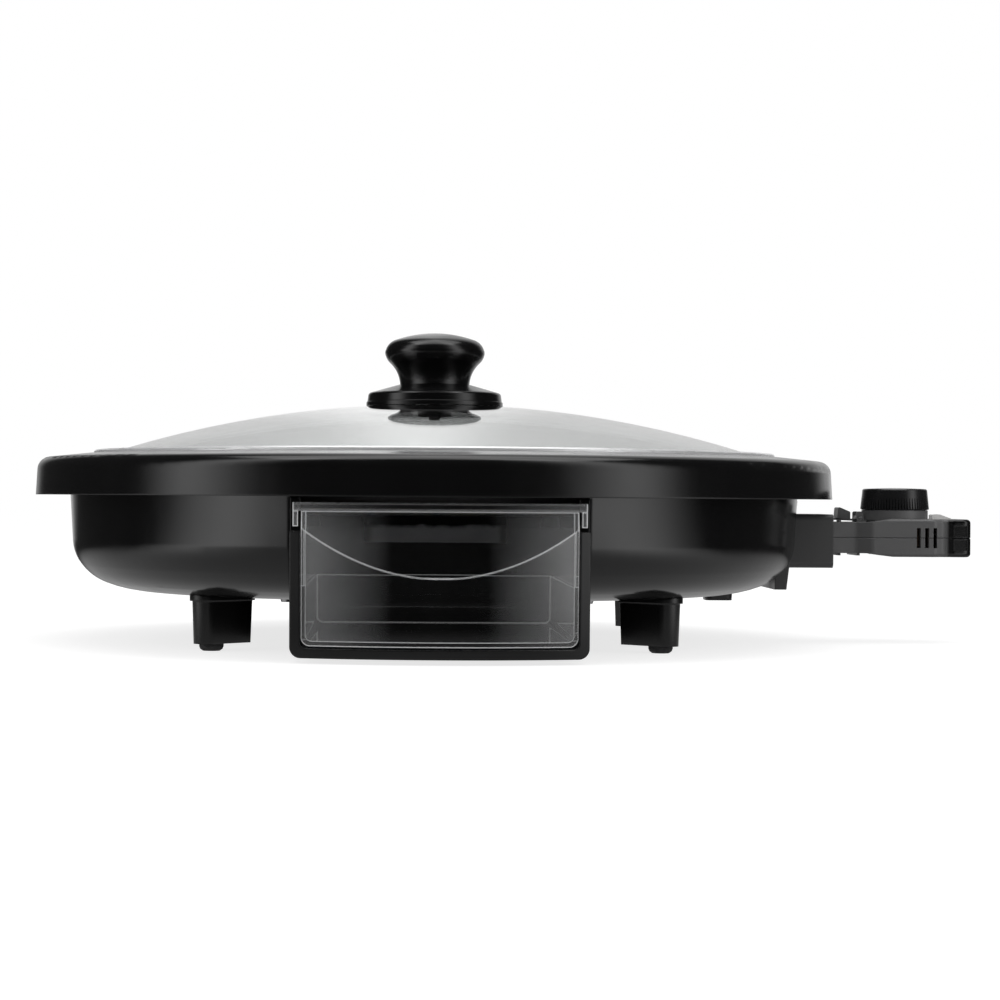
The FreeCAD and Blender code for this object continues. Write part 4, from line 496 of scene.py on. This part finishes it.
def make_finishes():
    return {
        "shell_plastic": moulded("shell_plastic", BLACK, 0.15, corner=0.0022),
        "rim_plastic": moulded("rim_plastic", BLACK, 0.17, corner=0.0012),
        "housing_plastic": moulded("housing_plastic", BLACK, 0.20, corner=0.0010),
        "foot_plastic": moulded("foot_plastic", BLACK, 0.22, grain=0.0007, corner=0.0010),
        "pad_rubber": rubber("pad_rubber", (0.035, 0.035, 0.036)),
        "guard_plastic": moulded("guard_plastic", scaled(GREY, 0.5), 0.40, grain=0.0006, corner=0.0008),
        "plate_coating": coated_plate(),
        "element_steel": heated_steel(),
        "terminal_steel": metal("terminal_steel", (0.62, 0.61, 0.58), 0.24, brush=ALONG_X),
        "bead_ceramic": ceramic(),
        "clamp_steel": metal("clamp_steel", (0.55, 0.55, 0.54), 0.34),
        "reflector_aluminium": metal("reflector_aluminium", (0.74, 0.74, 0.75), 0.30, brush=ALONG_X),
        "chute_aluminium": chute_with_painted_shade(),
        "screw_steel": metal("screw_steel", (0.5, 0.5, 0.51), 0.3, mark=0.003),
        "tray_clear": clear_drawer(),
        "lid_clear": clear("lid_clear", (0.94, 0.955, 0.95), ior=1.50, gloss=0.002, shadow=(0.88, 0.9, 0.89)),
        # Part real steel, part painted highlight: the near-white base at only 0.35 metallic makes the band
        # bright under the lamps, standing for its bright reflected line.
        "band_steel": metal("band_steel", (0.92, 0.92, 0.93), 0.30, (1, 1, 20), grain=0.02, metallic=0.35),
        "knob_plastic": moulded("knob_plastic", scaled(BLACK, 0.7), 0.20, grain=0.0005, dust=0.05),
        "washer_rubber": rubber("washer_rubber", (0.06, 0.06, 0.06)),
        "insert_brass": metal("insert_brass", (0.78, 0.6, 0.3), 0.25, mark=0.004),
        "probe_plastic": probe_case(),
        "dial_plastic": marked_dial(),
        "lever_plastic": moulded("lever_plastic", scaled(GREY, 0.7), 0.36, grain=0.0005),
        "rod_steel": metal("rod_steel", (0.7, 0.7, 0.7), 0.18, brush=ALONG_X),
        "block_phenolic": phenolic(),
        "lens_clear": pale_lens(),
        "lamp_glass": clear("lamp_glass", (0.95, 0.85, 0.75), ior=1.5, gloss=0.05, shadow=(0.9, 0.8, 0.7)),
        "bush_rubber": rubber("bush_rubber", (0.02, 0.02, 0.02)),
    }


def dress_nodes(finishes):
    for part in frame["record"]["subparts"]:
        node = frame["nodes"][part["node"]]
        node.data.materials.clear()
        node.data.materials.append(finishes[part["material_slot"]].material)


# Detail that the solids leave out

def turned_ring(name, section, centre, steps):
    """A ring turned about an upright axis from the points of its section, given as radius and height."""
    mesh = bmesh.new()
    rows = []
    for step in range(steps):
        angle = 2 * math.pi * step / steps
        row = []
        for radius, height in section:
            place = Vector((radius * math.cos(angle), radius * math.sin(angle), height))
            row.append(mesh.verts.new(centre + place))
        rows.append(row)
    for step, row in enumerate(rows):
        following = rows[(step + 1) % steps]
        for index in range(len(section)):
            after = (index + 1) % len(section)
            mesh.faces.new((row[index], following[index], following[after], row[after]))
    bmesh.ops.recalc_face_normals(mesh, faces=mesh.faces)
    data = bpy.data.meshes.new(name)
    mesh.to_mesh(data)
    mesh.free()
    piece = bpy.data.objects.new(name, data)
    bpy.context.scene.collection.objects.link(piece)
    return piece


def make_dial_lip(finishes):
    """A low lip under the dial, which closes the slit over the case's collar."""
    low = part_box("dial")[0].z
    section = ((LIP_INNER, LIP_RISE), (LIP_INNER, -LIP_DROP), (LIP_OUTER - LIP_BEVEL, -LIP_DROP),
               (LIP_OUTER, LIP_BEVEL - LIP_DROP), (LIP_OUTER, LIP_RISE))
    lip = turned_ring("dial_lip", section, Vector((DIAL_X, 0, low)), LIP_STEPS)
    lip.data.materials.append(finishes["dial_plastic"].material)
    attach(lip, "dial")


# The studio: a pale floor, a white backdrop behind the object and soft lamps

def surroundings(tree, across, along, softbox):
    """What reflections find in a level direction: two soft lights, a dark front, a pale card behind."""
    turn, starts, brightest, ends = softbox
    reach = reach_of(tree, across, along)
    turned = number_node(tree, "ADD", number_node(tree, "MULTIPLY", across, math.sin(turn)),
                         number_node(tree, "MULTIPLY", along, math.cos(turn)))
    half = number_node(tree, "MULTIPLY", number_node(tree, "DIVIDE", turned, reach), 0.5)
    ramp = tree.nodes.new("ShaderNodeValToRGB")
    ramp.color_ramp.interpolation = "EASE"
    stops = ((0.0, FRONT_GLOSS), (starts, FRONT_GLOSS), (brightest, SOFTBOX_GLOSS), (ends, SIDE_GLOSS),
             (BACK_STARTS, SIDE_GLOSS), (BACK_IS_FULL, BACK_GLOSS))
    for _ in range(len(stops) - 2):
        ramp.color_ramp.elements.new(0.5)
    # A ramp holds no more than 1, so it gets half of each level, and the card's gain makes up for that
    for element, (position, level) in zip(ramp.color_ramp.elements, stops):
        element.position = position
        element.color = (level / 2, level / 2, level / 2, 1)
    tree.links.new(number_node(tree, "ADD", half, 0.5), ramp.inputs[0])
    aside = number_node(tree, "ABSOLUTE", number_node(tree, "DIVIDE", across, reach))
    card = map_node(tree, aside, 0, CARD_WIDTH, 2 * CARD_GAIN, 2, smooth=True)
    return number_node(tree, "MULTIPLY", ramp.outputs[0], card)


def floor_in_reflections(tree):
    """An even pale patch under the object, and further out what lies in that direction."""
    place = parts_of(tree, tree.nodes.new("ShaderNodeNewGeometry").outputs["Position"])
    across = number_node(tree, "SUBTRACT", place["X"], PLATE_X)
    along = place["Y"]
    near = map_node(tree, reach_of(tree, across, along), NEAR_FLOOR, FAR_FLOOR, 1, 0, smooth=True)
    return mix_node(tree, near, surroundings(tree, across, along, LOW_SOFTBOX), NEAR_FLOOR_GLOSS)


def floor_material():
    """White, and matt to the lamps. Reflections find their own brightness there and no shadow."""
    material = bpy.data.materials.new("floor_white")
    material.use_nodes = True
    tree = material.node_tree
    shader = tree.nodes["Principled BSDF"]
    shader.inputs["Roughness"].default_value = 1
    shader.inputs["Specular IOR Level"].default_value = 0
    shader.inputs["Emission Color"].default_value = (1, 1, 1, 1)
    reflected = is_reflected(tree)
    tree.links.new(mix_node(tree, reflected, FLOOR_SHADE, 0), shader.inputs["Base Color"])
    to_camera = number_node(tree, "MULTIPLY", is_from_camera(tree), FLOOR_GLOW)
    mirrored = number_node(tree, "MULTIPLY", reflected, floor_in_reflections(tree))
    tree.links.new(number_node(tree, "MAXIMUM", to_camera, mirrored), shader.inputs["Emission Strength"])
    return material


def make_floor():
    corners = [(-FLOOR_REACH, -FLOOR_REACH, 0), (FLOOR_REACH, -FLOOR_REACH, 0),
               (FLOOR_REACH, FLOOR_REACH, 0), (-FLOOR_REACH, FLOOR_REACH, 0)]
    mesh = bpy.data.meshes.new("floor")
    mesh.from_pydata(corners, [], [(0, 1, 2, 3)])
    mesh.materials.append(floor_material())
    floor = bpy.data.objects.new("floor", mesh)
    bpy.context.scene.collection.objects.link(floor)


def make_world():
    """White to the camera. Reflections and glass find the surroundings, and matt faces an even light."""
    world = bpy.data.worlds.new("studio")
    bpy.context.scene.world = world
    world.use_nodes = True
    tree = world.node_tree
    background = tree.nodes["Background"]
    background.inputs["Color"].default_value = (1, 1, 1, 1)
    way = parts_of(tree, tree.nodes.new("ShaderNodeTexCoord").outputs["Generated"])
    mirrored = surroundings(tree, way["X"], way["Y"], HIGH_SOFTBOX)
    level = mix_node(tree, is_reflected(tree), AMBIENT, mirrored)
    tree.links.new(number_node(tree, "MAXIMUM", level, is_from_camera(tree)), background.inputs["Strength"])


def lamp(name, angle, distance, height, wide, high, power, aim_z):
    """A soft lamp, turned by angle degrees to the right of the camera and aimed over the plate's middle."""
    data = bpy.data.lights.new(name, "AREA")
    data.shape = "RECTANGLE"
    data.size = wide
    data.size_y = high
    data.energy = power
    made = bpy.data.objects.new(name, data)
    bpy.context.scene.collection.objects.link(made)
    turned = math.radians(angle)
    made.location = (PLATE_X + distance * math.sin(turned), -distance * math.cos(turned), height)
    aim = Vector((PLATE_X, 0, aim_z)) - made.location
    made.rotation_euler = aim.to_track_quat("-Z", "Y").to_euler()
    return made


def side_lamp(name, angle):
    """Lights the side faces. Reflections find the surroundings' own soft light there instead."""
    made = lamp(name, angle, distance=1.4, height=0.42, wide=0.70, high=0.84, power=3.0, aim_z=0.42)
    made.visible_glossy = False


def make_lamps():
    lamp("top_softbox", 0, distance=0.12, height=1.5, wide=1.7, high=1.0, power=11, aim_z=0.08)
    side_lamp("left_softbox", -60)
    side_lamp("right_softbox", 60)


set_view()
make_camera()
finishes = make_finishes()
dress_nodes(finishes)
make_dial_lip(finishes)
make_floor()
make_world()
make_lamps()
